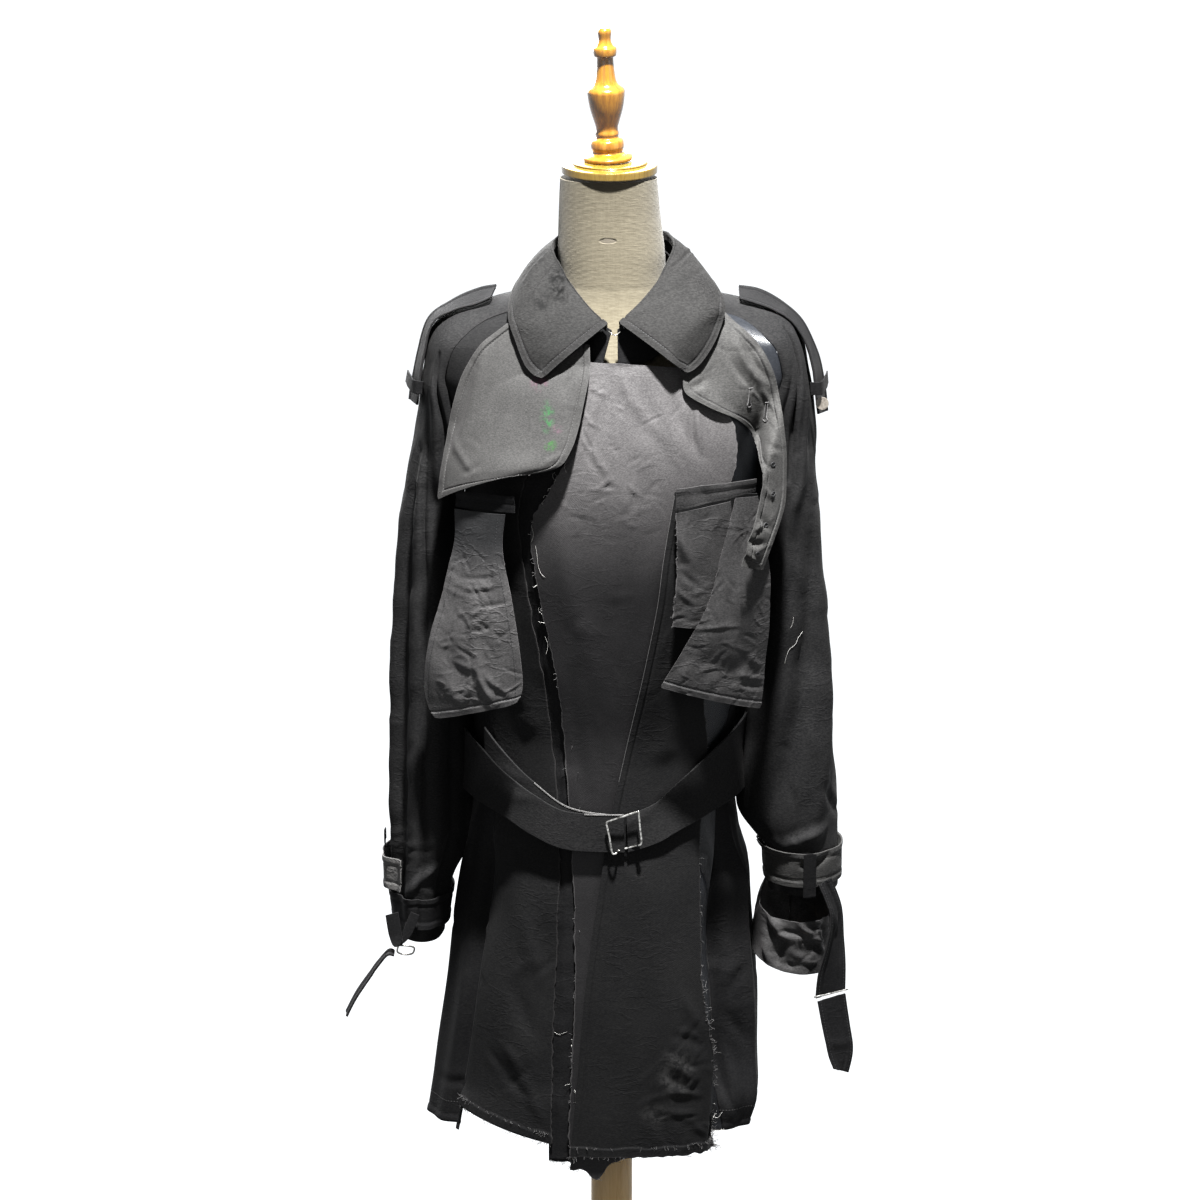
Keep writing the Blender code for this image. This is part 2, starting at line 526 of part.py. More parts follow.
def side_sheet(name, side, top, inner_at, columns, finish, hem_rise=0.0):
    """A body panel between the sleeve and side seams and an inner edge given by height."""
    grid = []
    for place in body_places():
        edge = side_edge(side, -1, place)
        inner_x = inner_at(edge.z)
        inner_z = min(edge.z, top)
        start = front_angle(edge.x, edge.z)
        end = front_angle(inner_x, inner_z)
        miss = edge - body_point(start, edge.z)
        line = []
        for c in range(columns):
            share = c / (columns - 1)
            angle = start + (end - start) * share
            spot = body_point(angle, edge.z + (inner_z - edge.z) * share)
            line.append(spot + miss * (1 - share) ** 2)
        grid.append(line)
    for c in range(columns):
        share = c / (columns - 1)
        grid[-1][c] = grid[-1][c].lerp(grid[-2][c], (1 - share) * hem_rise / (grid[-2][0].z - HEM_HEIGHT))
    return build_sheet(name, grid, CLOTH, finish)


def strip(name, table, rows, columns, thickness, finish, swell=None, clear=None, hub=None):
    """A piece from rows of two end points; swell is the way its middle stands out."""
    grid = []
    for r in range(rows):
        ax, ay, az, bx, by, bz, bulge = curve_through(table, r / (rows - 1))
        line = []
        for c in range(columns):
            share = c / (columns - 1)
            spot = Vector((ax, ay, az)).lerp(Vector((bx, by, bz)), share)
            arc = bulge * 4 * share * (1 - share)
            if swell == "front":
                spot.y -= arc
            elif swell == "out":
                flat = Vector((spot.x, spot.y - 0.01, 0))
                spot += (flat.normalized() + Vector((0, 0, 0.8))) * arc * 0.78
            if clear is not None:
                spot.y = min(spot.y, front_depth(spot.x, spot.z, clear))
            line.append(spot)
        grid.append(line)
    return build_sheet(name, grid, thickness, finish, hub)


def turned(name, profile, place, lean, finish, sides=28, tilt_left=0.0):
    """A solid turned from heights and radii on its own axis, leaning forward and to -X."""
    mesh = bpy.data.meshes.new(name)
    shape = bmesh.new()
    tilt = Matrix.Rotation(lean, 4, "X") @ Matrix.Rotation(-tilt_left, 4, "Y")
    rings = []
    for height, radius in profile:
        ring = []
        for k in range(sides):
            turn = math.tau * k / sides
            spot = tilt @ Vector((radius * math.cos(turn), radius * math.sin(turn), height))
            ring.append(shape.verts.new(spot + place))
        rings.append(ring)
    for low, high in zip(rings, rings[1:]):
        for k in range(sides):
            shape.faces.new((low[k], low[(k + 1) % sides], high[(k + 1) % sides], high[k]))
    shape.faces.new(list(reversed(rings[0])))
    shape.faces.new(rings[-1])
    bmesh.ops.recalc_face_normals(shape, faces=shape.faces)
    bmesh.ops.triangulate(shape, faces=shape.faces)
    shape.to_mesh(mesh)
    shape.free()
    return add_object(name, mesh, finish)


def wire_path(name, points, half, finish, closed=False):
    """A square wire of the given half width along points, mitred by its bisectors."""
    mesh = bpy.data.meshes.new(name)
    shape = bmesh.new()
    count = len(points)
    rings = []
    for k, spot in enumerate(points):
        before = points[(k - 1) % count] if closed or k > 0 else None
        after = points[(k + 1) % count] if closed or k < count - 1 else None
        into = (spot - before).normalized() if before is not None else None
        out = (after - spot).normalized() if after is not None else into
        into = into if into is not None else out
        way = (into + out).normalized()
        flat = way.cross(Vector((0, 1, 0))).normalized()
        stretch = 1 / max(way.dot(into), 0.5)
        up = flat.cross(way).normalized()
        corners = [(1, 1), (-1, 1), (-1, -1), (1, -1)]
        rings.append([shape.verts.new(spot + flat * a * half * stretch + up * b * half) for a, b in corners])
    pairs = list(zip(rings, rings[1:]))
    if closed:
        pairs.append((rings[-1], rings[0]))
    for low, high in pairs:
        for k in range(4):
            shape.faces.new((low[k], low[(k + 1) % 4], high[(k + 1) % 4], high[k]))
    if not closed:
        shape.faces.new(list(reversed(rings[0])))
        shape.faces.new(rings[-1])
    bmesh.ops.recalc_face_normals(shape, faces=shape.faces)
    bmesh.ops.triangulate(shape, faces=shape.faces)
    shape.to_mesh(mesh)
    shape.free()
    return add_object(name, mesh, finish)


def build_stand():
    turned("base", [(0.0, BASE_RADIUS), (BASE_THICKNESS - 0.006, BASE_RADIUS),
                    (BASE_THICKNESS, BASE_RADIUS - 0.006)], Vector((0, 0, 0)), 0.0, "pine", 48)
    foot = BASE_THICKNESS + SEAM_GAP
    turned("pole", [(0.0, 0.042), (0.012, 0.042), (0.020, POLE_RADIUS),
                    (FORM_BOTTOM - SEAM_GAP - foot, POLE_RADIUS)], Vector((0, 0, foot)), 0.0, "pine", 24)
    mesh = bpy.data.meshes.new("form")
    shape = bmesh.new()
    sides = 32
    rings = []
    for height, half, front, back, centre_x, centre_y in FORM_RINGS:
        ring = []
        for k in range(sides):
            turn = math.tau * k / sides
            across = math.sin(turn)
            along = math.cos(turn)
            depth = front if along > 0 else back
            x = centre_x + half * math.copysign(abs(across) ** 0.92, across)
            y = centre_y - depth * math.copysign(abs(along) ** 0.92, along)
            ring.append(shape.verts.new((x, y, height)))
        rings.append(ring)
    for low, high in zip(rings, rings[1:]):
        for k in range(sides):
            shape.faces.new((low[k], low[(k + 1) % sides], high[(k + 1) % sides], high[k]))
    shape.faces.new(list(reversed(rings[0])))
    shape.faces.new(rings[-1])
    bmesh.ops.recalc_face_normals(shape, faces=shape.faces)
    bmesh.ops.triangulate(shape, faces=shape.faces)
    shape.to_mesh(mesh)
    shape.free()
    add_object("form", mesh, "linen")
    turned("neck_plate", CAP_PROFILE, CAP_PLACE, CAP_LEAN, "varnish", 28)
    turned("finial", FINIAL_PROFILE, FINIAL_PLACE, CAP_LEAN, "varnish", 16, FINIAL_TILT)


def build_sleeves():
    for side in ("right", "left"):
        columns = 17
        last = len(SLEEVE_ROWS[side]) - 1
        stations = list(range(ARMPIT_STATION + 1))
        stations += [ARMPIT_STATION + k / 2 for k in range(1, 2 * (last - ARMPIT_STATION) + 1)]
        grid = []
        for station in stations:
            place = station / last
            grid.append([sleeve_point(side, place, -1 + 2 * c / (columns - 1)) for c in range(columns)])
        x = -0.21 if side == "right" else 0.21
        build_sheet("sleeve_" + side, grid, CLOTH, "coat", Vector((x, 0, 0)))


def build_back():
    columns = 19
    grid = []
    for place in body_places():
        start = side_edge("left", 1, place)
        end = side_edge("right", 1, place)
        start_angle = front_angle(start.x, start.z)
        end_angle = front_angle(end.x, end.z)
        if place <= 1:
            start_angle = math.pi - start_angle
            end_angle = -math.pi - end_angle
        end_angle += math.tau
        miss_start = start - body_point(start_angle, start.z)
        miss_end = end - body_point(end_angle, end.z)
        line = []
        for c in range(columns):
            share = c / (columns - 1)
            angle = start_angle + (end_angle - start_angle) * share
            spot = body_point(angle, start.z + (end.z - start.z) * share)
            spot += miss_start * max(0, 1 - 2 * share) ** 2 + miss_end * max(0, 2 * share - 1) ** 2
            line.append(spot)
        grid.append(line)
    build_sheet("back", grid, CLOTH, "coat")


def build_fronts():
    def right_seam(height):
        return value_at(RIGHT_FRONT_EDGE, height)[0]

    def lining_edge(height):
        return value_at(LINING_INNER_EDGE, height)[0]

    side_sheet("front_right", "right", RIGHT_FRONT_EDGE[0][0], right_seam, 6, "coat", 0.030)
    side_sheet("lining_left", "left", LINING_INNER_EDGE[0][0], lining_edge, 5, "satin")
    facing = []
    for place in body_places():
        height = side_edge("right", -1, place).z
        if place >= FACING_TOP:
            start = front_angle(right_seam(height) + FACING_GAP, height)
            width = value_at(RIGHT_FACING_WIDTH, height)[0]
            end = front_angle(right_seam(height) + width, height)
            facing.append([body_point(start + (end - start) * c / 2, height) for c in range(3)])
    for spot in facing[-1]:
        spot.z -= FACING_DROP
    build_sheet("facing_right", facing, CLOTH, "coat")
    front_sheet("inner_front", INNER_FRONT, LAYERS["centre"], 22, 7, "raw")
    front_sheet("front_left", LEFT_FRONT, LAYERS["front"], 20, 5, "raw")


def build_chest():
    strip("storm_flap", STORM_FLAP, 9, 7, CLOTH, "raw", "front", LAYERS["chest"])
    cut = []
    for outer, inner in zip(CUT_FLAP_OUTER, CUT_FLAP_INNER):
        cut.append((*inner, *outer, 0.002))
    strip("cut_flap", cut, 16, 5, CLOTH, "coat", "front", LAYERS["chest"])
    strip("pocket_band_right", POCKET_BAND_RIGHT, 2, 5, CLOTH, "raw", "front", LAYERS["centre"])
    strip("pocket_leaf_right", POCKET_LEAF_RIGHT, 8, 6, CLOTH, "raw", "front", LAYERS["centre"] + 0.002)
    strip("pocket_band_left", POCKET_BAND_LEFT, 2, 6, CLOTH, "raw", "front", LAYERS["pocket"])
    strip("pocket_back_left", POCKET_BACK_LEFT, 4, 4, CLOTH, "raw", "front", LAYERS["pocket"])
    strip("pocket_leaf_left", POCKET_LEAF_LEFT, 7, 5, CLOTH, "raw", "front", LAYERS["leaf"])


def build_collar():
    strip("collar_fall", COLLAR_FALL, 29, 5, 0.0020, "coat", "out")
    strip("collar_stand", COLLAR_STAND, 25, 3, CLOTH, "coat")


def build_epaulettes():
    for side in ("right", "left"):
        sign = -1 if side == "right" else 1
        hub = Vector((sign * 0.12, 0, 0))
        strip("epaulette_" + side, EPAULETTES[side], 13, 3, STRAP, "coat", hub=hub)


def belt_grid(table, rows, layer):
    grid = []
    for r in range(rows):
        angle, top, bottom = curve_through(table, r / (rows - 1))
        turn = math.radians(angle)
        grid.append([body_point(turn, top + (bottom - top) * c / 2, layer) for c in range(3)])
    return grid


def build_belt():
    build_sheet("belt", belt_grid(BELT, 40, LAYERS["belt"]), STRAP, "coat")
    build_sheet("belt_tail", belt_grid(BELT_TAIL, 9, LAYERS["belt_tail"]), STRAP, "coat")


def build_cuffs():
    for side in ("right", "left"):
        low, high, start, end = CUFF_STRAPS[side]
        sleeve_band("cuff_strap_" + side, side, low, high, start, end, 0.0040, 3, 21, "coat")
    low, high, start, end = TURNED_CUFF_RIGHT
    sleeve_band("turned_cuff_right", "right", low, high, start, end, 0.0090, 4, 7, "raw")
    grid = []
    rows = 25
    axis_x, axis_y = CUFF_END_AXIS
    for r in range(rows):
        angle, top, bottom, across, deep = curve_through(CUFF_END_LEFT, r / (rows - 1))
        turn = math.radians(angle)
        line = []
        for c in range(3):
            height = top + (bottom - top) * c / 2
            line.append(Vector((axis_x + across * math.sin(turn), axis_y - deep * math.cos(turn), height)))
        grid.append(line)
    build_sheet("cuff_end_left", grid, CLOTH, "raw", Vector((axis_x, axis_y, 0)))
    strip("cuff_strands_right", CUFF_STRANDS_RIGHT, 9, 2, STRAP, "coat")
    strip("cuff_tab_right", CUFF_END_RIGHT, 9, 2, STRAP, "coat")
    strip("cuff_drop_left", CUFF_DROP_LEFT, 9, 3, STRAP, "coat")
    strip("cuff_tab_left", CUFF_END_STRAP_LEFT, 7, 3, STRAP, "coat")
    strip("cuff_loop_left", CUFF_LOOP_LEFT, 3, 2, CLOTH, "coat")
    strip("cuff_loop_right", CUFF_LOOP_RIGHT, 3, 2, CLOTH, "coat")


def sleeve_band(name, side, low, high, start, end, lift, rows, columns, finish):
    """A band made from the sleeve's own points, moved out."""
    grid = []
    for r in range(rows):
        place = low + (high - low) * r / (rows - 1)
        grid.append([sleeve_point(side, place, start + (end - start) * c / (columns - 1), lift)
                     for c in range(columns)])
    hub = Vector((-0.21 if side == "right" else 0.21, 0, 0))
    build_sheet(name, grid, CLOTH, finish, hub)


def build_trim():
    for side in ("right", "left"):
        sign = -1 if side == "right" else 1
        strip("epaulette_loop_" + side, EPAULETTE_LOOPS[side], 5, 2, CLOTH, "coat", hub=Vector((sign * 0.1, 0, 0)))
    buckle = [Vector((-0.006, -0.1445, 0.797)), Vector((0.027, -0.1445, 0.808)),
              Vector((0.032, -0.1445, 0.771)), Vector((0.000, -0.1445, 0.761))]
    wire_path("belt_buckle", buckle, 0.0011, "metal", closed=True)
    hook = [Vector((-0.004, -0.1120, 1.3270)), Vector((0.000, -0.1150, 1.3245)),
            Vector((0.005, -0.1150, 1.3240)), Vector((0.008, -0.1120, 1.3260))]
    wire_path("throat_hook", hook, 0.0007, "metal")
    ring = [Vector((-0.2345, -0.0790, 0.6340)), Vector((-0.2185, -0.0790, 0.6320)),
            Vector((-0.2205, -0.0800, 0.6245)), Vector((-0.2355, -0.0800, 0.6265))]
    wire_path("cuff_ring_right", ring, 0.0009, "metal", closed=True)
    bar = [Vector((0.223, -0.0815, 0.5795)), Vector((0.261, -0.0680, 0.5845))]
    wire_path("cuff_buckle_left", bar, 0.0010, "metal")
    turned("button_left", [(0.0, 0.0070), (0.0020, 0.0070), (0.0028, 0.0060)],
           Vector((0.2265, -0.0480, 1.238)), math.radians(90), "button", 16)


def main():
    clear_scene()
    build_stand()
    build_sleeves()
    build_back()
    build_fronts()
    build_chest()
    build_collar()
    build_epaulettes()
    build_belt()
    build_cuffs()
    build_trim()


main()
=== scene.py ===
import math

import bpy
import numpy as np
from mathutils import Matrix, Vector
from mathutils.kdtree import KDTree


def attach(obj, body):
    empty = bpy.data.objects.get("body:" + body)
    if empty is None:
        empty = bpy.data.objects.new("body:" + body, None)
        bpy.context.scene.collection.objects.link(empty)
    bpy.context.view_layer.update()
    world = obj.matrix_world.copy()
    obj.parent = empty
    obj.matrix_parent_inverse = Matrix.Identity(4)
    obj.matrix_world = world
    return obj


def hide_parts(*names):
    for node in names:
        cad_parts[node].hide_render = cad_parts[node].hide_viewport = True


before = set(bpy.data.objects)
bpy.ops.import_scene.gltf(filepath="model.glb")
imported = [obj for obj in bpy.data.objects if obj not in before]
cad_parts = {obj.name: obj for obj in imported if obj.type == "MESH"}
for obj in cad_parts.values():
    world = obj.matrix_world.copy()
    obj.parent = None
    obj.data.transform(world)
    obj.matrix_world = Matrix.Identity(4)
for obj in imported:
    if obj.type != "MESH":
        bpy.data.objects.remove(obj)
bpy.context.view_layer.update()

# lengths are in metres, the coat faces -Y, the origin is under the base
detail = 1.0
cloth = 0.0014
strap = 0.0022
raglanGap = 0.0003
sideRows = 11
fullness = 2.3  # 2 is an ellipse, more is squarer
hemHeight = 0.43
armpitStation = 7
facingTop = 0.5  # place where the raw facing starts, under the storm flap
baseRadius = 0.19
baseThickness = 0.022
poleRadius = 0.0232
seamGap = 0.0003
hemWidth = 0.0078
hemStep = 0.0007
grooveWidth = 0.0012
rawWander = 0.0009  # how far a raw edge strays
rawReach = 0.004
foldRadius = 0.16  # turns an angle on the body into a length

# how far each layer's outer face stands off the body
layers = {"centre": 0.0034, "front": 0.0072, "pocket": 0.0102, "leaf": 0.0136,
          "chest": 0.0096, "beltTail": 0.0104, "belt": 0.014}

# height, half width, depth to the front, depth to the back, centre x
bodyRings = [
    (1.4, 0.17, 0.062, 0.078, 0.0), (1.35, 0.2, 0.084, 0.092, 0.0), (1.3, 0.213, 0.108, 0.106, 0.0),
    (1.22, 0.207, 0.134, 0.116, 0.0), (1.16, 0.192, 0.144, 0.114, 0.0), (1.112, 0.178, 0.146, 0.11, 0.0),
    (1.05, 0.168, 0.145, 0.104, 0.0), (0.95, 0.154, 0.134, 0.092, -0.004),
    (0.87, 0.143, 0.122, 0.084, -0.009), (0.8, 0.146, 0.124, 0.094, -0.01),
    (0.7, 0.158, 0.132, 0.112, -0.008), (0.58, 0.173, 0.14, 0.128, -0.009),
    (0.48, 0.178, 0.144, 0.138, -0.016), (0.4, 0.182, 0.146, 0.142, -0.026),
]

# one sleeve: x and z of the ridge, x and z of the sewn edge, reach each side of the ridge
# in degrees, depth front and back, and how far the arm stands forward
sleeveRows = {
    "right": [
        (-0.086, 1.357, -0.092, 1.343, 62, 0.052, 0.0), (-0.135, 1.344, -0.136, 1.33, 68, 0.062, 0.0),
        (-0.18, 1.328, -0.162, 1.311, 78, 0.074, 0.0), (-0.199, 1.306, -0.174, 1.292, 90, 0.076, 0.0),
        (-0.206, 1.262, -0.181, 1.256, 105, 0.074, 0.0), (-0.213, 1.212, -0.183, 1.205, 122, 0.069, 0.0),
        (-0.222, 1.16, -0.182, 1.155, 145, 0.066, 0.0), (-0.229, 1.12, -0.184, 1.112, 178.5, 0.064, 0.0),
        (-0.236, 1.03, -0.176, 1.025, 179.2, 0.063, -0.004),
        (-0.242, 0.9, -0.173, 0.898, 179.2, 0.062, -0.008),
        (-0.245, 0.78, -0.172, 0.779, 179.2, 0.061, -0.01), (-0.244, 0.7, -0.178, 0.7, 179.2, 0.06, -0.01),
        (-0.239, 0.64, -0.187, 0.636, 179.2, 0.058, -0.01),
    ],
    "left": [
        (0.092, 1.357, 0.098, 1.343, 62, 0.052, 0.0), (0.141, 1.345, 0.14, 1.331, 68, 0.062, 0.0),
        (0.186, 1.33, 0.166, 1.312, 78, 0.074, 0.0), (0.204, 1.309, 0.178, 1.294, 90, 0.076, 0.0),
        (0.215, 1.264, 0.184, 1.257, 105, 0.074, 0.0), (0.2215, 1.212, 0.186, 1.205, 122, 0.069, 0.0),
        (0.2235, 1.16, 0.183, 1.155, 145, 0.066, 0.0), (0.2255, 1.12, 0.184, 1.112, 178.5, 0.064, 0.0),
        (0.232, 1.03, 0.177, 1.025, 179.2, 0.063, -0.004), (0.243, 0.9, 0.166, 0.898, 179.2, 0.062, -0.008),
        (0.249, 0.8, 0.164, 0.8, 179.2, 0.061, -0.01), (0.252, 0.736, 0.17, 0.736, 179.2, 0.06, -0.01),
        (0.25, 0.692, 0.174, 0.69, 179.2, 0.058, -0.01),
    ],
}

# height and x of the seam between back and front, below the armpit
sideSeams = {
    "right": [(1.112, -0.175), (1.03, -0.156), (0.94, -0.141), (0.86, -0.126), (0.787, -0.128),
              (0.696, -0.139), (0.582, -0.149), (0.484, -0.163), (0.43, -0.17)],
    "left": [(1.112, 0.175), (1.03, 0.156), (0.94, 0.139), (0.86, 0.118), (0.787, 0.113),
             (0.696, 0.113), (0.582, 0.116), (0.484, 0.121), (0.43, 0.124)],
}

# body fronts: x and z where each row ends on the left and on the right, as it is looked at
innerFront = [
    (-0.042, 1.295, 0.07, 1.288), (-0.03, 1.262, 0.11, 1.25), (-0.041, 1.225, 0.129, 1.222),
    (-0.05, 1.193, 0.129, 1.178), (-0.066, 1.16, 0.11, 1.14), (-0.086, 1.118, 0.1, 1.1),
    (-0.077, 1.041, 0.09, 1.03), (-0.064, 0.98, 0.084, 0.97), (-0.056, 0.925, 0.078, 0.915),
    (-0.046, 0.8, 0.068, 0.8), (-0.041, 0.69, 0.06, 0.69), (-0.041, 0.59, 0.056, 0.59),
    (-0.046, 0.47, 0.05, 0.48), (-0.046, 0.402, 0.048, 0.425),
]

leftFront = [
    (0.064, 1.16, 0.15, 1.15), (0.052, 1.086, 0.142, 1.08), (0.045, 1.03, 0.13, 1.02),
    (0.03, 0.95, 0.096, 0.94), (0.014, 0.875, 0.098, 0.873), (-0.002, 0.795, 0.093, 0.8),
    (-0.015, 0.71, 0.092, 0.71), (-0.028, 0.61, 0.095, 0.6), (-0.037, 0.505, 0.112, 0.5),
    (-0.045, 0.419, 0.115, 0.413),
]

# height and x of the seam between the right front and its raw facing
rightFrontEdge = [
    (1.325, -0.048), (1.262, -0.062), (1.19, -0.086), (1.139, -0.1), (1.041, -0.09), (0.953, -0.075),
    (0.831, -0.06), (0.74, -0.057), (0.64, -0.061), (0.54, -0.066), (0.434, -0.066),
]

# height, and how much of the raw facing shows
rightFacingWidth = [
    (1.325, 0.044), (1.262, 0.046), (1.225, 0.047), (1.19, 0.05), (1.16, 0.046), (1.118, 0.028),
    (1.06, 0.022), (0.434, 0.022),
]

# height and x of the lining's inner edge
liningEdge = [
    (1.325, 0.066), (1.24, 0.085), (1.16, 0.075), (1.03, 0.064), (0.9, 0.06), (0.75, 0.056), (0.6, 0.056),
    (0.434, 0.06),
]

# hanging pieces: left end x, y, z, right end x, y, z, and the forward swell between
stormFlap = [
    (-0.112, -0.066, 1.332, -0.024, -0.1, 1.312, 0.006),
    (-0.142, -0.072, 1.307, -0.024, -0.125, 1.285, 0.01),
    (-0.16, -0.082, 1.278, -0.03, -0.14, 1.255, 0.014),
    (-0.171, -0.086, 1.244, -0.036, -0.148, 1.228, 0.016),
    (-0.179, -0.09, 1.204, -0.044, -0.154, 1.206, 0.016),
    (-0.183, -0.092, 1.174, -0.058, -0.158, 1.189, 0.014),
    (-0.187, -0.094, 1.144, -0.096, -0.156, 1.18, 0.004),
]

cutFlapOuter = [
    (0.117, -0.07, 1.342), (0.143, -0.076, 1.322), (0.158, -0.084, 1.306), (0.171, -0.092, 1.282),
    (0.179, -0.098, 1.25), (0.184, -0.102, 1.215), (0.186, -0.106, 1.18), (0.184, -0.116, 1.14),
    (0.169, -0.142, 1.098), (0.16, -0.15, 1.076),
]

cutFlapInner = [
    (0.066, -0.118, 1.316), (0.074, -0.136, 1.282), (0.078, -0.146, 1.262), (0.104, -0.15, 1.246),
    (0.132, -0.146, 1.232), (0.15, -0.142, 1.211), (0.159, -0.14, 1.18), (0.157, -0.15, 1.15),
    (0.145, -0.168, 1.112), (0.137, -0.172, 1.084),
]

pocketBandRight = [
    (-0.167, -0.116, 1.156, -0.104, -0.153, 1.156, 0.003),
    (-0.168, -0.116, 1.138, -0.104, -0.153, 1.138, 0.003),
]

pocketLeafRight = [
    (-0.168, -0.116, 1.136, -0.114, -0.15, 1.136, 0.004),
    (-0.17, -0.118, 1.1, -0.117, -0.151, 1.098, 0.005),
    (-0.185, -0.116, 1.036, -0.107, -0.154, 1.043, 0.007),
    (-0.199, -0.112, 0.981, -0.099, -0.154, 0.988, 0.008),
    (-0.203, -0.108, 0.935, -0.096, -0.152, 0.95, 0.009),
    (-0.194, -0.11, 0.902, -0.099, -0.151, 0.93, 0.006),
]

pocketBandLeft = [
    (0.068, -0.16, 1.166, 0.153, -0.134, 1.172, 0.003), (0.067, -0.16, 1.142, 0.153, -0.134, 1.158, 0.003),
]

pocketBackLeft = [
    (0.067, -0.16, 1.139, 0.126, -0.146, 1.15, 0.002), (0.068, -0.16, 1.1, 0.128, -0.146, 1.1, 0.002),
    (0.067, -0.158, 1.06, 0.122, -0.147, 1.055, 0.002), (0.064, -0.156, 1.015, 0.115, -0.148, 1.01, 0.002),
]

pocketLeafLeft = [
    (0.131, -0.15, 1.154, 0.155, -0.138, 1.154, 0.001), (0.117, -0.158, 1.1, 0.166, -0.136, 1.092, 0.004),
    (0.103, -0.163, 1.045, 0.169, -0.134, 1.042, 0.007), (0.081, -0.166, 1.002, 0.167, -0.13, 0.995, 0.009),
    (0.051, -0.166, 0.951, 0.16, -0.126, 0.918, 0.01),
]

# collar leaf, from the front edge on the wearer's right round the neck to the other:
# roll line x, y, z, outer edge x, y, z, and the outward swell between
collarFall = [
    (-0.006, -0.108, 1.333, -0.076, -0.139, 1.277, 0.003),
    (-0.024, -0.094, 1.348, -0.092, -0.133, 1.29, 0.005),
    (-0.042, -0.075, 1.367, -0.103, -0.116, 1.315, 0.006),
    (-0.056, -0.05, 1.386, -0.111, -0.082, 1.34, 0.006),
    (-0.0668, -0.014, 1.403, -0.106, -0.014, 1.36, 0.005),
    (-0.057, 0.036, 1.409, -0.089, 0.058, 1.352, 0.007), (-0.034, 0.062, 1.412, -0.06, 0.106, 1.336, 0.01),
    (0.002, 0.07, 1.413, 0.002, 0.116, 1.328, 0.011), (0.038, 0.062, 1.413, 0.064, 0.106, 1.338, 0.01),
    (0.061, 0.036, 1.411, 0.093, 0.058, 1.355, 0.007), (0.0685, -0.014, 1.406, 0.11, -0.014, 1.363, 0.005),
    (0.059, -0.05, 1.389, 0.12, -0.08, 1.348, 0.006), (0.046, -0.075, 1.369, 0.112, -0.119, 1.32, 0.006),
    (0.027, -0.094, 1.35, 0.096, -0.136, 1.295, 0.005), (0.008, -0.108, 1.334, 0.08, -0.14, 1.282, 0.003),
]

# neck band under the leaf: upper edge x, y, z, sewn edge x, y, z
collarStand = [
    (-0.001, -0.1, 1.326, -0.012, -0.105, 1.284, 0.0), (-0.018, -0.09, 1.336, -0.034, -0.1, 1.292, 0.0),
    (-0.036, -0.068, 1.352, -0.054, -0.088, 1.308, 0.0), (-0.051, -0.045, 1.37, -0.07, -0.062, 1.342, 0.0),
    (-0.0628, -0.012, 1.384, -0.076, -0.01, 1.352, 0.0), (-0.053, 0.033, 1.392, -0.066, 0.046, 1.354, 0.0),
    (-0.031, 0.056, 1.396, -0.04, 0.074, 1.352, 0.0), (0.002, 0.064, 1.398, 0.002, 0.082, 1.35, 0.0),
    (0.035, 0.056, 1.397, 0.044, 0.074, 1.352, 0.0), (0.057, 0.033, 1.393, 0.07, 0.046, 1.354, 0.0),
    (0.0645, -0.012, 1.386, 0.079, -0.01, 1.353, 0.0), (0.054, -0.045, 1.372, 0.073, -0.062, 1.343, 0.0),
    (0.04, -0.068, 1.354, 0.058, -0.088, 1.308, 0.0), (0.023, -0.09, 1.337, 0.036, -0.1, 1.292, 0.0),
    (0.006, -0.1, 1.327, 0.006, -0.105, 1.284, 0.0),
]

# epaulettes: x, y, z of the front edge, then of the back edge
epaulettes = {
    "right": [
        (-0.132, -0.028, 1.35, -0.126, 0.022, 1.357, 0.0),
        (-0.148, -0.03, 1.343, -0.146, 0.022, 1.353, 0.0),
        (-0.171, -0.032, 1.337, -0.175, 0.022, 1.34, 0.0),
        (-0.194, -0.036, 1.323, -0.201, 0.022, 1.32, 0.0),
        (-0.203, -0.042, 1.29, -0.212, 0.022, 1.284, 0.0),
        (-0.208, -0.046, 1.258, -0.219, 0.022, 1.252, 0.0),
        (-0.211, -0.046, 1.236, -0.222, 0.02, 1.231, 0.0),
    ],
    "left": [
        (0.138, -0.028, 1.349, 0.138, 0.022, 1.356, 0.0), (0.156, -0.03, 1.344, 0.16, 0.022, 1.352, 0.0),
        (0.176, -0.032, 1.336, 0.186, 0.022, 1.338, 0.0), (0.197, -0.036, 1.322, 0.208, 0.022, 1.317, 0.0),
        (0.213, -0.042, 1.292, 0.224, 0.022, 1.284, 0.0), (0.219, -0.046, 1.258, 0.232, 0.022, 1.252, 0.0),
        (0.223, -0.046, 1.226, 0.236, 0.02, 1.218, 0.0),
    ],
}

epauletteLoops = {
    "right": [(-0.204, -0.054, 1.263, -0.205, -0.054, 1.249, 0.0),
              (-0.214, -0.051, 1.264, -0.215, -0.051, 1.25, 0.0),
              (-0.22, -0.012, 1.264, -0.222, -0.012, 1.25, 0.0),
              (-0.224, 0.027, 1.262, -0.226, 0.027, 1.249, 0.0)],
    "left": [(0.213, -0.054, 1.262, 0.214, -0.054, 1.248, 0.0),
             (0.225, -0.051, 1.262, 0.226, -0.051, 1.248, 0.0),
             (0.232, -0.012, 1.262, 0.233, -0.012, 1.248, 0.0),
             (0.236, 0.027, 1.261, 0.237, 0.027, 1.248, 0.0)],
}

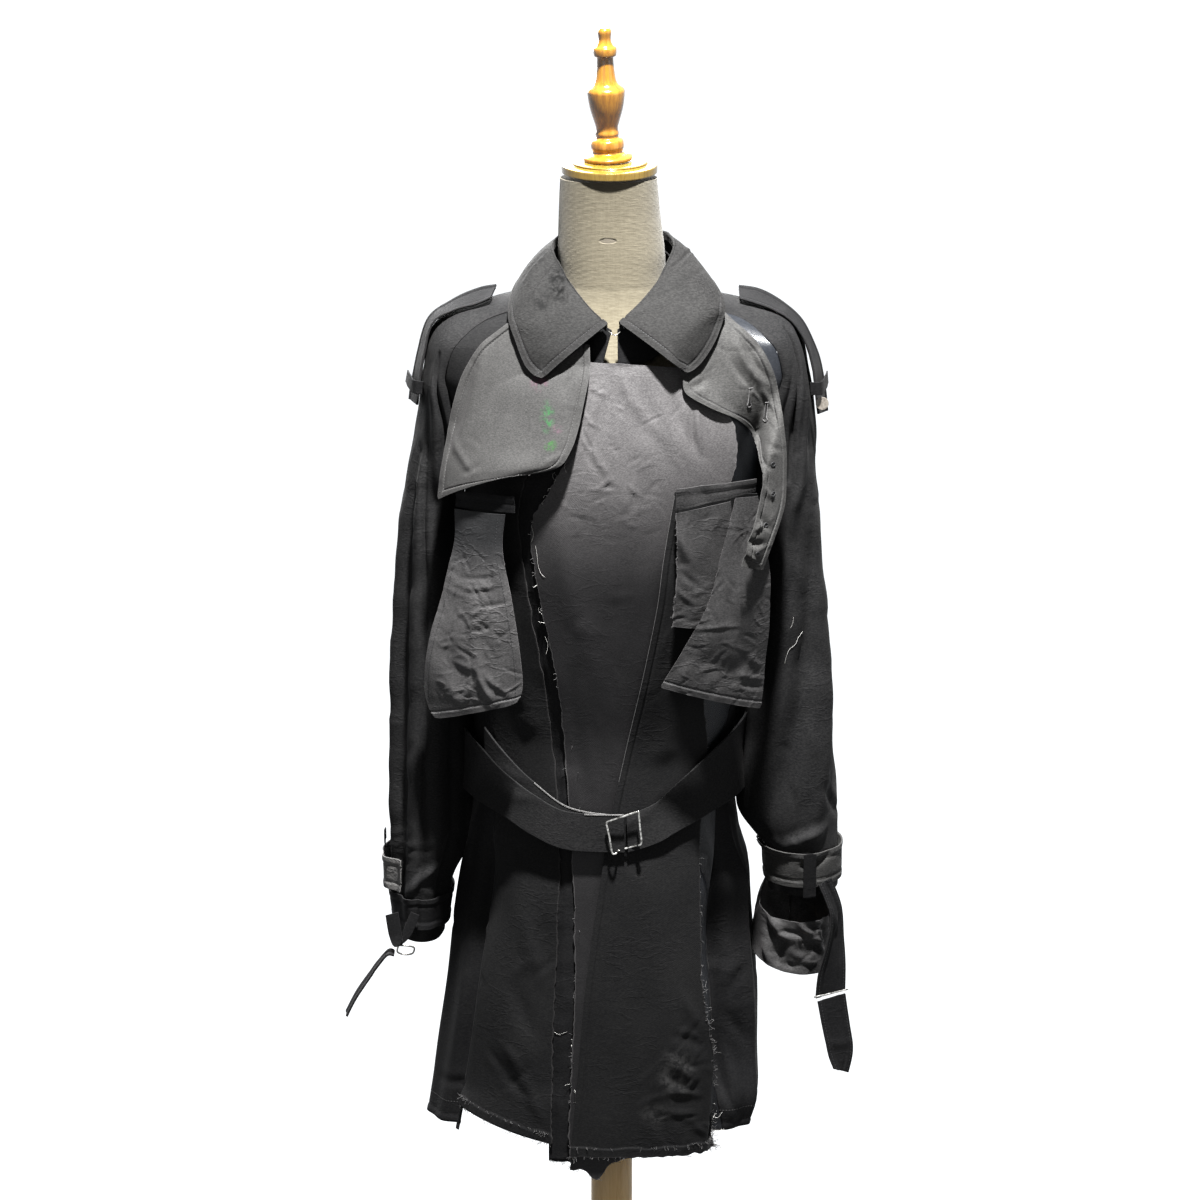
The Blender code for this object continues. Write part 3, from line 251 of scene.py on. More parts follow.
# belt: angle from the front in degrees, height of the top edge, height of the bottom edge
beltRows = [
    (6, 0.803, 0.761), (-12, 0.806, 0.764), (-26, 0.823, 0.778), (-42, 0.844, 0.796), (-62, 0.868, 0.806),
    (-90, 0.882, 0.812), (-135, 0.896, 0.832), (-180, 0.902, 0.84), (-225, 0.9, 0.836),
    (-262, 0.896, 0.808), (-288, 0.888, 0.806), (-310, 0.868, 0.8), (-330, 0.838, 0.784),
    (-342, 0.814, 0.77), (-353, 0.803, 0.761),
]

beltTailRows = [
    (2, 0.802, 0.762), (-12, 0.811, 0.768), (-26, 0.835, 0.784), (-42, 0.862, 0.802), (-56, 0.886, 0.818),
]

cuffEndLeft = [
    (181, 0.668, 0.612, 0.04, 0.058), (240, 0.668, 0.626, 0.04, 0.057), (275, 0.669, 0.631, 0.041, 0.056),
    (315, 0.665, 0.614, 0.041, 0.056), (350, 0.662, 0.604, 0.04, 0.056), (385, 0.661, 0.6, 0.041, 0.056),
    (420, 0.66, 0.602, 0.04, 0.056), (450, 0.66, 0.614, 0.041, 0.056), (490, 0.664, 0.616, 0.041, 0.057),
    (539, 0.668, 0.612, 0.04, 0.058),
]

# hanging strap ends: one edge x, y, z, the other edge x, y, z
cuffStrandsRight = [
    (-0.249, -0.079, 0.672, -0.235, -0.079, 0.676, 0.0), (-0.245, -0.079, 0.648, -0.232, -0.08, 0.654, 0.0),
    (-0.238, -0.082, 0.637, -0.23, -0.082, 0.642, 0.0), (-0.222, -0.079, 0.648, -0.229, -0.08, 0.656, 0.0),
    (-0.212, -0.078, 0.672, -0.221, -0.078, 0.676, 0.0),
]

cuffTabRight = [
    (-0.24, -0.083, 0.628, -0.24, -0.071, 0.631, 0.0), (-0.249, -0.082, 0.627, -0.248, -0.066, 0.629, 0.0),
    (-0.264, -0.08, 0.606, -0.264, -0.062, 0.608, 0.0), (-0.281, -0.082, 0.581, -0.282, -0.064, 0.582, 0.0),
    (-0.293, -0.084, 0.558, -0.294, -0.068, 0.56, 0.0),
]

cuffDropLeft = [
    (0.227, -0.076, 0.706, 0.241, -0.068, 0.712, 0.0), (0.24, -0.078, 0.67, 0.253, -0.06, 0.678, 0.0),
    (0.236, -0.08, 0.636, 0.256, -0.06, 0.64, 0.0), (0.228, -0.08, 0.606, 0.258, -0.064, 0.61, 0.0),
    (0.225, -0.0788, 0.577, 0.258, -0.0655, 0.582, 0.0),
]

cuffTabLeft = [
    (0.227, -0.084, 0.575, 0.258, -0.07, 0.58, 0.0), (0.233, -0.084, 0.544, 0.263, -0.07, 0.546, 0.0),
    (0.24, -0.084, 0.512, 0.267, -0.072, 0.516, 0.0), (0.246, -0.084, 0.497, 0.262, -0.074, 0.49, 0.0),
]

cuffLoopLeft = [
    (0.21, -0.082, 0.742, 0.21, -0.078, 0.692, 0.0), (0.217, -0.081, 0.743, 0.217, -0.077, 0.692, 0.0),
    (0.224, -0.079, 0.742, 0.224, -0.075, 0.692, 0.0),
]

cuffLoopRight = [
    (-0.2515, -0.024, 0.75, -0.2515, -0.024, 0.738, 0.0), (-0.253, -0.01, 0.75, -0.253, -0.01, 0.738, 0.0),
    (-0.2525, 0.004, 0.75, -0.2525, 0.004, 0.738, 0.0),
]

# dress form: height, half width, depth front, depth back, centre x, centre y
formRings = [
    (0.72, 0.118, 0.088, 0.062, 0.0, 0.004), (0.78, 0.126, 0.094, 0.07, 0.0, 0.004),
    (0.86, 0.118, 0.086, 0.062, 0.0, 0.004), (0.96, 0.13, 0.102, 0.068, 0.0, 0.002),
    (1.08, 0.146, 0.124, 0.078, 0.0, 0.0), (1.16, 0.152, 0.122, 0.084, 0.0, 0.0),
    (1.24, 0.154, 0.106, 0.084, 0.0, 0.0), (1.29, 0.138, 0.086, 0.078, 0.0, 0.0),
    (1.318, 0.106, 0.072, 0.07, 0.0, 0.0), (1.338, 0.072, 0.064, 0.06, 0.0, 0.0),
    (1.362, 0.0596, 0.058, 0.054, 0.0, -0.001), (1.4, 0.0578, 0.054, 0.051, -0.001, -0.004),
    (1.44, 0.0548, 0.05, 0.049, -0.003, -0.008), (1.478, 0.0522, 0.048, 0.048, -0.004, -0.012),
]

# turned profiles: height above the piece's own origin, radius
capProfile = [(0.0, 0.049), (0.0015, 0.0515), (0.008, 0.0515), (0.0095, 0.05),
               (0.01, 0.041), (0.0125, 0.04), (0.013, 0.03)]

finialProfile = [
    (0.0133, 0.0262), (0.0165, 0.0268), (0.019, 0.0225), (0.0215, 0.0165), (0.028, 0.0178),
    (0.0345, 0.0168), (0.0375, 0.0122), (0.042, 0.0126), (0.0462, 0.0118), (0.05, 0.0122), (0.056, 0.014),
    (0.07, 0.018), (0.084, 0.02), (0.09, 0.0192), (0.096, 0.0125), (0.106, 0.01), (0.124, 0.0088),
    (0.126, 0.0118), (0.134, 0.0122), (0.137, 0.0088), (0.143, 0.0066), (0.152, 0.0072), (0.1555, 0.005),
]

poleProfile = [
    (0.0, 0.042), (0.008, 0.0425), (0.013, 0.04), (0.02, 0.0265), (0.028, poleRadius), (0.2, poleRadius),
    (0.44, poleRadius), (0.6974, poleRadius),
]

baseProfile = [
    (0.0, 0.187), (0.002, baseRadius), (0.013, baseRadius), (0.017, 0.188), (0.0205, 0.183), (0.022, 0.176),
    (baseThickness, 0.06),
]

buttonProfile = [
    (0.0, 0.0066), (0.0004, 0.007), (0.0018, 0.007), (0.0026, 0.0064), (0.0028, 0.0052), (0.0021, 0.0046),
    (0.002, 0.001),
]

# soft folds that every layer of the body shares: angle from the front in degrees and height at
# both ends, width and depth; a positive depth stands out
bodyFolds = [
    # the skirt's sides stand behind the fronts, with a hollow along each front edge
    (-53, 0.8, -62, 0.38, 0.012, -0.013), (-74, 0.8, -84, 0.38, 0.014, 0.006),
    (44, 0.81, 46, 0.38, 0.012, -0.014), (64, 0.805, 64, 0.38, 0.011, 0.0085),
    (84, 0.79, 90, 0.38, 0.014, -0.005), (104, 0.8, 112, 0.38, 0.016, 0.005),
    # drag lines from chest to belt
    (-46, 1.06, -30, 0.88, 0.018, 0.0035), (-24, 0.96, -12, 0.84, 0.016, -0.002),
    (36, 1.04, 22, 0.85, 0.018, 0.003), (12, 0.77, 26, 0.47, 0.026, 0.003),
    (-34, 0.76, -30, 0.5, 0.022, 0.003), (-20, 0.7, -14, 0.47, 0.016, -0.0026),
    # slack above the belt at the back, soft pleats below it
    (180, 1.25, 182, 0.93, 0.034, -0.005), (152, 1.19, 160, 0.93, 0.024, 0.0055),
    (213, 1.2, 202, 0.93, 0.028, 0.0045), (130, 1.08, 140, 0.92, 0.016, -0.0045),
    (232, 1.06, 222, 0.92, 0.018, -0.0042), (172, 0.82, 176, 0.38, 0.022, -0.008),
    (196, 0.825, 203, 0.38, 0.026, 0.007), (150, 0.82, 142, 0.38, 0.02, 0.0065),
    (129, 0.805, 124, 0.44, 0.016, -0.006), (224, 0.81, 232, 0.38, 0.02, -0.007),
    (250, 0.8, 258, 0.42, 0.018, 0.005),
]

# folds of a sleeve: share round the sleeve and place down it at both ends (share -1 is the front
# sewn edge, 0 the outer ridge, 1 the back edge), width, depth, sideways bow
sleeveFolds = {
    "right": [
        (-0.7, 0.26, -0.86, 0.56, 0.006, -0.005, 0.004), (-0.58, 0.3, -0.7, 0.58, 0.01, 0.003, 0.002),
        (-0.3, 0.46, -0.27, 0.96, 0.012, -0.005, 0.004),
        (-0.47, 0.44, -0.47, 0.98, 0.0045, -0.0034, -0.002),
        (-0.38, 0.48, -0.37, 0.97, 0.009, 0.003, 0.001), (-0.6, 0.58, -0.58, 0.9, 0.011, 0.0032, 0.006),
        (-0.74, 0.66, -0.72, 0.98, 0.009, -0.004, 0.003), (-0.1, 0.6, -0.14, 0.94, 0.009, 0.0028, -0.003),
        (-0.64, 0.885, -0.34, 0.93, 0.005, 0.003, 0.002), (0.3, 0.36, 0.42, 0.62, 0.012, -0.0045, 0.006),
        (0.55, 0.52, 0.48, 0.9, 0.012, 0.0045, -0.006), (0.24, 0.6, 0.72, 0.7, 0.009, -0.004, 0.008),
        (0.2, 0.72, 0.62, 0.66, 0.007, 0.0034, 0.006), (0.75, 0.6, 0.7, 0.95, 0.012, -0.0036, 0.004),
    ],
    "left": [
        (-0.52, 0.19, -0.62, 0.5, 0.0055, -0.006, -0.003), (-0.4, 0.22, -0.48, 0.56, 0.01, 0.0034, 0.003),
        (-0.78, 0.3, -0.8, 0.6, 0.008, -0.003, 0.002), (-0.24, 0.6, -0.78, 0.88, 0.014, -0.0066, 0.01),
        (-0.12, 0.68, -0.52, 0.93, 0.012, 0.0045, 0.008), (-0.5, 0.52, -0.72, 0.7, 0.012, 0.0036, 0.004),
        (-0.62, 0.9, -0.28, 0.87, 0.005, 0.0036, 0.002), (-0.52, 0.93, -0.3, 0.915, 0.004, -0.003, -0.002),
        (-0.3, 0.82, -0.1, 0.86, 0.005, -0.0026, 0.003), (0.32, 0.38, 0.4, 0.64, 0.012, -0.0048, -0.005),
        (0.56, 0.5, 0.46, 0.88, 0.012, 0.0045, 0.006), (0.22, 0.66, 0.7, 0.74, 0.009, -0.0042, 0.008),
        (0.18, 0.78, 0.6, 0.7, 0.007, 0.0036, 0.006), (0.76, 0.62, 0.7, 0.96, 0.012, -0.0034, 0.004),
    ],
}
sleeveGirth = 0.31
sleeveSlack = {"right": 0.022, "left": 0.027}
sleeveLength = 0.8


def throughRows(rows, place):
    # a smooth curve through rows of numbers, from place 0 to place 1
    rows = np.asarray(rows, float)
    last = len(rows) - 1
    spot = np.clip(place, 0, 1) * last
    start = np.minimum(np.floor(spot).astype(int), last - 1)
    part = (spot - start)[..., None]
    before = rows[np.maximum(start - 1, 0)]
    here = rows[start]
    there = rows[start + 1]
    after = rows[np.minimum(start + 2, last)]
    curve = 2 * here + (there - before) * part
    curve = curve + (2 * before - 5 * here + 4 * there - after) * part ** 2
    return 0.5 * (curve + (3 * here - before - 3 * there + after) * part ** 3)


def readAt(rows, key):
    # a smooth reading between the rows of a table whose first column falls
    rows = np.asarray(rows, float)
    last = len(rows) - 1
    key = np.clip(key, rows[-1, 0], rows[0, 0])
    start = np.clip(np.searchsorted(-rows[:, 0], -key, side="right") - 1, 0, last - 1)
    high = rows[start]
    low = rows[start + 1]
    step = (high[..., :1] - low[..., :1])
    share = (high[..., :1] - key[..., None]) / step
    above = rows[np.maximum(start - 1, 0)]
    below = rows[np.minimum(start + 2, last)]
    slopeHigh = (low - above) / (above[..., :1] - low[..., :1]) * step
    slopeLow = (below - high) / (high[..., :1] - below[..., :1]) * step
    square = share ** 2
    cube = share ** 3
    values = (2 * cube - 3 * square + 1) * high + (cube - 2 * square + share) * slopeHigh
    values = values + (3 * square - 2 * cube) * low + (cube - square) * slopeLow
    return values[..., 1:]


def smooth(value, low, high):
    share = np.clip((value - low) / (high - low), 0, 1)
    return share * share * (3 - 2 * share)


def ridges(rows, across, down):
    # soft ridges and troughs between two points each, in lengths across and down a surface
    total = np.zeros(np.broadcast(across, down).shape)
    for startAcross, startDown, endAcross, endDown, width, depth, bow in rows:
        wayAcross = endAcross - startAcross
        wayDown = endDown - startDown
        length = math.hypot(wayAcross, wayDown)
        share = ((across - startAcross) * wayAcross + (down - startDown) * wayDown) / length ** 2
        side = ((across - startAcross) * wayDown - (down - startDown) * wayAcross) / length
        inside = np.clip(share, 0, 1)
        side = side - bow * 4 * inside * (1 - inside)
        past = (share - inside) * length
        taper = np.sin(np.pi * (0.06 + 0.88 * inside)) ** 0.7 * np.exp(-(past / width) ** 2)
        shape = np.exp(-(side / width) ** 2) - 0.3 * np.exp(-((side - 1.9 * width) / (1.3 * width)) ** 2)
        total = total + depth * taper * shape
    return total


def bodyRelief(angle, height):
    total = np.zeros(np.broadcast(angle, height).shape)
    for startAngle, top, endAngle, bottom, width, depth in bodyFolds:
        share = (top - height) / (top - bottom)
        middle = np.radians(startAngle + (endAngle - startAngle) * np.clip(share, 0, 1))
        away = (angle - middle + np.pi) % math.tau - np.pi
        taper = smooth(share, 0.0, 0.22) * smooth(1 - share, 0.0, 0.12)
        total = total + depth * taper * np.exp(-(away * foldRadius / width) ** 2)
    return total


def signedPower(value, power):
    return np.sign(value) * np.abs(value) ** power


def bodyPoint(angle, height, lift=0.0):
    # angle 0 is the front and 90 degrees is +X
    angle, height = np.broadcast_arrays(np.asarray(angle, float), np.asarray(height, float))
    half, front, back, centre = np.moveaxis(readAt(bodyRings, height), -1, 0)
    lift = lift + bodyRelief(angle, height)
    across = np.sin(angle)
    along = np.cos(angle)
    depth = np.where(along > 0, front, back) + lift
    x = centre + (half + lift) * signedPower(across, 2 / fullness)
    return np.stack((x, -depth * signedPower(along, 2 / fullness), height), -1)


def frontAngle(x, height):
    half, _, _, centre = np.moveaxis(readAt(bodyRings, np.asarray(height, float)), -1, 0)
    share = np.clip((x - centre) / half, -1, 1)
    return np.arcsin(signedPower(share, fullness / 2))


def frontDepth(x, height, lift):
    # y of the body's front at x, or 0 past its side
    half, _, _, centre = np.moveaxis(readAt(bodyRings, height), -1, 0)
    y = bodyPoint(frontAngle(x, height), height, lift)[..., 1]
    return np.where(np.abs(x - centre) >= half + lift, 0.0, y)


def sleevePoint(side, place, share, lift=0.0):
    # share -1 is the front sewn edge, 0 the ridge, 1 the back edge
    place, share = np.broadcast_arrays(np.asarray(place, float), np.asarray(share, float))
    rows = np.moveaxis(throughRows(sleeveRows[side], place), -1, 0)
    ridgeX, ridgeZ, edgeX, edgeZ, reach, depth, forward = rows
    girth = sleeveGirth / 2
    folds = [(a * girth, b * sleeveLength, c * girth, d * sleeveLength, width, 1.5 * deep, bow)
             for a, b, c, d, width, deep, bow in sleeveFolds[side]]
    lift = lift + ridges(folds, share * girth, place * sleeveLength) * (1 - np.abs(share) ** 8)
    reach = np.radians(reach)
    spread = 1 - np.cos(reach)
    outX = (ridgeX - edgeX) / spread
    outZ = (ridgeZ - edgeZ) / spread
    grow = 1 + lift / np.hypot(outX, outZ)
    turn = reach * share
    x = ridgeX - outX + outX * np.cos(turn) * grow
    # the slack inner side of the sleeve lies against the body
    reach = share ** 2 * smooth(place, 0.3, 0.42) * smooth(0.93 - place, 0.0, 0.08)
    x = x - np.sign(x) * sleeveSlack[side] * reach
    y = forward + (depth + lift) * np.sin(turn)
    z = ridgeZ - outZ + outZ * np.cos(turn) * grow
    return np.stack((x, y, z), -1)


def bodyPlace(share):
    # rows of the body panels: one on each sleeve station, then down the side
    row = share * (armpitStation + sideRows)
    return np.where(row <= armpitStation, row / armpitStation, 1 + (row - armpitStation) / sideRows)


def sideEdge(side, face, place):
    # 0 to 1 down the raglan seam, 1 to 2 down the side seam
    sign = 1 if side == "left" else -1
    place = np.asarray(place, float)
    share = np.minimum(place, 1) * armpitStation / (len(sleeveRows[side]) - 1)
    upper = sleevePoint(side, share, float(face)) + np.array((-sign * 0.8, 0, -0.6)) * raglanGap
    upper[..., 1] += face * raglanGap * smooth(place, 0.8, 1.0)
    pit = sleevePoint(side, armpitStation / (len(sleeveRows[side]) - 1), float(face))[2] - 0.6 * raglanGap
    height = pit + (hemHeight - pit) * np.clip(place - 1, 0, 1)
    angle = frontAngle(readAt(sideSeams[side], height)[..., 0], height)
    lower = bodyPoint(angle, height)
    under = upper.copy()
    under[..., 2] = height
    part = smooth((place - 1) * sideRows, 0.0, 1.0)[..., None]
    return np.where(place[..., None] <= 1, upper, under * (1 - part) + lower * part)


def shares(count, edge=0.35):
    # from 0 to 1, closer together at both ends
    even = np.linspace(0, 1, max(int(count * detail), 6))
    return even - (1 - edge) * np.sin(math.tau * even) / math.tau


def frontGrid(table, layer, rows, columns):
    ends = throughRows(table, shares(rows))
    leftX, leftZ, rightX, rightZ = ends.T[..., None]
    share = shares(columns)[None, :]
    start = frontAngle(leftX, leftZ)
    end = frontAngle(rightX, rightZ)
    return bodyPoint(start + (end - start) * share, leftZ + (rightZ - leftZ) * share, layer)


def sideGrid(side, top, innerAt, rows, columns, hemRise=0.0):
    edge = sideEdge(side, -1, bodyPlace(shares(rows)))
    innerX = innerAt(edge[:, 2])
    innerZ = np.minimum(edge[:, 2], top)
    start = frontAngle(edge[:, 0], edge[:, 2])
    end = frontAngle(innerX, innerZ)
    miss = edge - bodyPoint(start, edge[:, 2])
    share = shares(columns)[None, :]
    spot = bodyPoint(start[:, None] + (end - start)[:, None] * share,
                     edge[:, 2:3] + (innerZ - edge[:, 2])[:, None] * share)
    spot = spot + miss[:, None, :] * ((1 - share) ** 2)[..., None]
    # the hem rises towards the side
    near = smooth(hemHeight + 0.06 - edge[:, 2], 0.0, 0.06)[:, None]
    spot[..., 2] += hemRise * (1 - share) * near
    return spot


def stripGrid(table, rows, columns, clear=None):
    # between two edges; with clear it swells forward and stays that far off the body
    a = throughRows(table, shares(rows))[:, None, :]
    share = shares(columns)[None, :, None]
    spot = a[..., 0:3] * (1 - share) + a[..., 3:6] * share
    if clear is not None:
        spot[..., 1] -= a[..., 6] * 4 * share[..., 0] * (1 - share[..., 0])
        spot[..., 1] = np.minimum(spot[..., 1], frontDepth(spot[..., 0], spot[..., 2], clear))
    return spot


def unit(ways):
    return ways / (np.linalg.norm(ways, axis=-1, keepdims=True) + 1e-12)


def gridNormals(grid, hub=None):
    down = np.gradient(grid, axis=0)
    across = np.gradient(grid, axis=1)
    normal = unit(np.cross(down, across))
    away = grid[..., :2] - np.array(hub if hub is not None else (0, 0.02))
    if np.sum(normal[..., :2] * away) < 0:
        normal = -normal
    return normal


def waves(points, size, count, seed):
    # quiet unevenness from a few waves in random directions
    draw = np.random.default_rng(seed)
    total = np.zeros(points.shape[:-1])
    for _ in range(count):
        way = draw.normal(size=3)
        way *= math.tau / (size * draw.uniform(0.6, 1.8) * np.linalg.norm(way))
        total += np.sin(points @ way + draw.uniform(0, math.tau))
    return total / math.sqrt(count)


def deeper(rows, times):
    # the same creases with more or less depth
    return [(*row[:5], row[5] * times, row[6]) for row in rows]


def crumples(seed, count, box, length, width, depth):
    # small creases at random in a box of two lengths: start, end, start, end
    draw = np.random.default_rng(seed)
    rows = []
    for _ in range(count):
        x = draw.uniform(box[0], box[1])
        z = draw.uniform(box[2], box[3])
        turn = draw.uniform(0, math.tau)
        long = length * draw.uniform(0.5, 1.5)
        deep = depth * draw.uniform(0.4, 1.3) * draw.choice((-1, 1))
        rows.append((x, z, x + long * math.cos(turn), z + long * math.sin(turn),
                     width * draw.uniform(0.7, 1.5), deep, long * draw.uniform(-0.12, 0.12)))
    return rows


def arcTo(grid, edge):
    # distance from an edge of the grid, along its own lines
    steps = {"top": (0, False), "bottom": (0, True), "left": (1, False), "right": (1, True)}
    axis, back = steps[edge]
    grid = np.flip(grid, axis) if back else grid
    gaps = np.linalg.norm(np.diff(grid, axis=axis), axis=-1)
    gaps = np.concatenate((np.zeros_like(np.take(gaps, [0], axis)), gaps), axis)
    run = np.cumsum(gaps, axis)
    return np.flip(run, axis) if back else run


def roundCorners(grid, corners):
    # corners: two edges that meet, and the radius between them
    for first, second, radius in corners:
        away = [arcTo(grid, edge) for edge in (first, second)]
        u, v = (np.clip(1 - far / radius, 0, 1) for far in away)
        for edge, far, change in ((first, away[0], u * (np.sqrt(1 - v * v / 2) - 1)),
                                  (second, away[1], v * (np.sqrt(1 - u * u / 2) - 1))):
            axis = 0 if edge in ("top", "bottom") else 1
            way = unit(np.gradient(grid, axis=axis))
            way *= -np.sign(np.gradient(far, axis=axis))[..., None]
            grid = grid + way * (change * radius)[..., None]
    return grid


def newObject(name, points, faces, uvs=None, fields=None):
    # faces: one table, or a list of tables with a face size each
    mesh = bpy.data.meshes.new(name)
    groups = faces if isinstance(faces[0], np.ndarray) and faces[0].ndim == 2 else [np.asarray(faces)]
    corners = np.concatenate([group.ravel() for group in groups]).astype(np.int32)
    sizes = np.concatenate([np.full(len(group), group.shape[1]) for group in groups])
    mesh.vertices.add(len(points))
    mesh.vertices.foreach_set("co", np.asarray(points, np.float32).ravel())
    mesh.loops.add(corners.size)
    mesh.loops.foreach_set("vertex_index", corners)
    mesh.polygons.add(len(sizes))
    mesh.polygons.foreach_set("loop_start", (np.cumsum(sizes) - sizes).astype(np.int32))
    mesh.polygons.foreach_set("use_smooth", np.ones(len(sizes), bool))
    if uvs is not None:
        layer = mesh.uv_layers.new(name="weave")
        layer.data.foreach_set("uv", np.asarray(uvs, np.float32)[corners].ravel())
    for key, values in (fields or {}).items():
        field = mesh.attributes.new(key, "FLOAT", "POINT")
        field.data.foreach_set("value", np.asarray(values, np.float32).ravel())
    mesh.update(calc_edges=True)
    mesh.validate()
    item = bpy.data.objects.new(name, mesh)
    bpy.context.scene.collection.objects.link(item)
    return item


def thriftyFaces(rows, columns, step=3):
    # triangles over a grid with few of its inner points and all of its rim's
    down = list(range(0, rows - 1, step)) + [rows - 1]
    over = list(range(0, columns - 1, step)) + [columns - 1]
    faces = []
    for i in range(len(down) - 1):
        for j in range(len(over) - 1):
            top, low, left, right = down[i], down[i + 1], over[j], over[j + 1]
            loop = [(top, c) for c in (range(left, right) if i == 0 else (left,))]
            loop += [(r, right) for r in (range(top, low) if j == len(over) - 2 else (top,))]
            loop += [(low, c) for c in (range(right, left, -1) if i == len(down) - 2 else (right,))]
            loop += [(r, left) for r in (range(low, top, -1) if j == 0 else (low,))]
            # a fan from the corner farthest from the rim
            pivot = loop.index((low if i == 0 else top, right if j == 0 else left))
            loop = [r * columns + c for r, c in loop[pivot:] + loop[:pivot]]
            faces += [(loop[0], loop[k], loop[k + 1]) for k in range(1, len(loop) - 1)]
    return np.array(faces)


grids = {}


def clothPiece(name, piece):
    # a closed wall: the outer face from the grid, the inner face moved in, rims between
    grid = piece["grid"]
    hub = piece.get("hub")
    normal = gridNormals(grid, hub)
    rise = piece["relief"](grid)
    distance = {edge: arcTo(grid, edge) for edge in ("top", "bottom", "left", "right")}
    for edge, wide, high, seed in piece.get("bands", ()):
        far = distance[edge] + 0.0012 * waves(grid, 0.016, 5, seed)
        rise = rise + high * (1 - smooth(far, wide - 0.0008, wide + 0.0008))
    hemmed = np.full(grid.shape[:2], 1.0)
    for edge in piece.get("finished", ()):
        hemmed = np.minimum(hemmed, distance[edge])
    # a turned hem is thicker, and dips along its stitches
    groove = np.exp(-((hemmed - hemWidth) / grooveWidth) ** 2)
    rise = rise + hemStep * (1 - smooth(hemmed, 0.006, 0.008)) - hemStep * groove
    grid = grid + normal * rise[..., None]
    bare = np.full(grid.shape[:2], 1.0)
    for edge in piece.get("raw", ()):
        bare = np.minimum(bare, distance[edge])
        axis = 0 if edge in ("top", "bottom") else 1
        out = -np.gradient(distance[edge], axis=axis)
        way = unit(np.gradient(grid, axis=axis))
        way *= np.sign(out)[..., None]
        shift = rawWander * waves(grid, 0.01, 6, 11) * np.exp(-distance[edge] / rawReach)
        grid = grid + way * shift[..., None]
    normal = gridNormals(grid, hub)
    grids[name] = {"outer": grid, "normal": normal}
    inner = grid - normal * piece.get("thickness", cloth)
    rows, columns = grid.shape[:2]
    index = np.arange(rows * columns).reshape(rows, columns)
    a, b, c, d = index[:-1, :-1], index[:-1, 1:], index[1:, 1:], index[1:, :-1]
    front = np.stack((a, b, c, d), -1).reshape(-1, 4)
    back = thriftyFaces(rows, columns)[:, ::-1] + rows * columns
    loop = np.concatenate((index[0, :], index[1:, -1], index[-1, -2::-1], index[-2:0:-1, 0]))
    after = np.roll(loop, -1)
    rim = np.stack((after, loop, loop + rows * columns, after + rows * columns), -1)
    faces = [np.concatenate((front, rim)), back]
    flatNormal = np.cross(grid[1:, :-1] - grid[:-1, :-1], grid[:-1, 1:] - grid[:-1, :-1])
    if np.sum(flatNormal * normal[:-1, :-1]) > 0:
        faces = [group[:, ::-1] for group in faces]
    across = arcTo(grid, "left")
    down = arcTo(grid, "top")
    uv = np.stack((across, -down), -1).reshape(-1, 2)
    fields = {"hem": np.tile(hemmed.ravel(), 2), "bare": np.tile(bare.ravel(), 2)}
    item = newObject(name + "_cloth", np.concatenate((grid.reshape(-1, 3), inner.reshape(-1, 3))), faces,
                     np.tile(uv, (2, 1)), fields)
    item.data.materials.append(piece["material"])
    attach(item, "root")
    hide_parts(name)
    return item


def ringFaces(count, sides, start=0, closed=False):
    # quads between rings of points that follow each other
    faces = []
    for k in range(count if closed else count - 1):
        low = start + k * sides
        high = start + (k + 1) % count * sides
        faces += [(low + j, low + (j + 1) % sides, high + (j + 1) % sides, high + j) for j in range(sides)]
    return faces


def placed(name, points, faces, material):
    # an object with its material that rides on the one body
    item = newObject(name, points, faces)
    item.data.materials.append(material)
    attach(item, "root")
    return item


def tubes(name, lines, radius, material, sides=5, closed=False):
    # round threads or wires along lists of points
    points = []
    faces = []
    for line in lines:
        line = np.asarray(line, float)
        way = unit(np.roll(line, -1, 0) - np.roll(line, 1, 0) if closed else np.gradient(line, axis=0))
        aside = unit(np.cross(way, (0.31, -0.9, 0.29)))
        up = np.cross(way, aside)
        turn = math.tau * np.arange(sides) / sides
        ring = aside[:, None] * np.cos(turn)[None, :, None] + up[:, None] * np.sin(turn)[None, :, None]
        start = sum(len(p) for p in points)
        points.append((line[:, None] + ring * radius).reshape(-1, 3))
        faces += ringFaces(len(line), sides, start, closed)
    return placed(name, np.concatenate(points), faces, material)


def onGrid(field, row, column):
    # a reading between the points of a grid
    rows, columns = field.shape[:2]
    row = np.clip(row, 0, rows - 1.001)
    column = np.clip(column, 0, columns - 1.001)
    r = np.floor(row).astype(int)
    c = np.floor(column).astype(int)
    a = (row - r)[..., None]
    b = (column - c)[..., None]
    top = field[r, c] * (1 - b) + field[r, c + 1] * b
    low = field[r + 1, c] * (1 - b) + field[r + 1, c + 1] * b
    return top * (1 - a) + low * a


def insetLine(name, edge, inset, start=0.0, end=1.0):
    # points and normals along a line a fixed distance inside an edge
    grid = grids[name]["outer"]
    normal = grids[name]["normal"]
    if edge in ("left", "right"):
        grid = grid.transpose(1, 0, 2)
        normal = normal.transpose(1, 0, 2)
    run = arcTo(grid, "top" if edge in ("top", "left") else "bottom")
    if edge in ("bottom", "right"):
        grid, normal, run = grid[::-1], normal[::-1], run[::-1]
    columns = grid.shape[1]
    column = np.linspace(start, end, 4 * columns) * (columns - 1)
    whole = np.clip(np.round(column).astype(int), 0, columns - 1)
    row = np.array([np.interp(inset, run[:, c], np.arange(len(run))) for c in whole])
    return onGrid(grid, row, column), onGrid(normal, row, column)


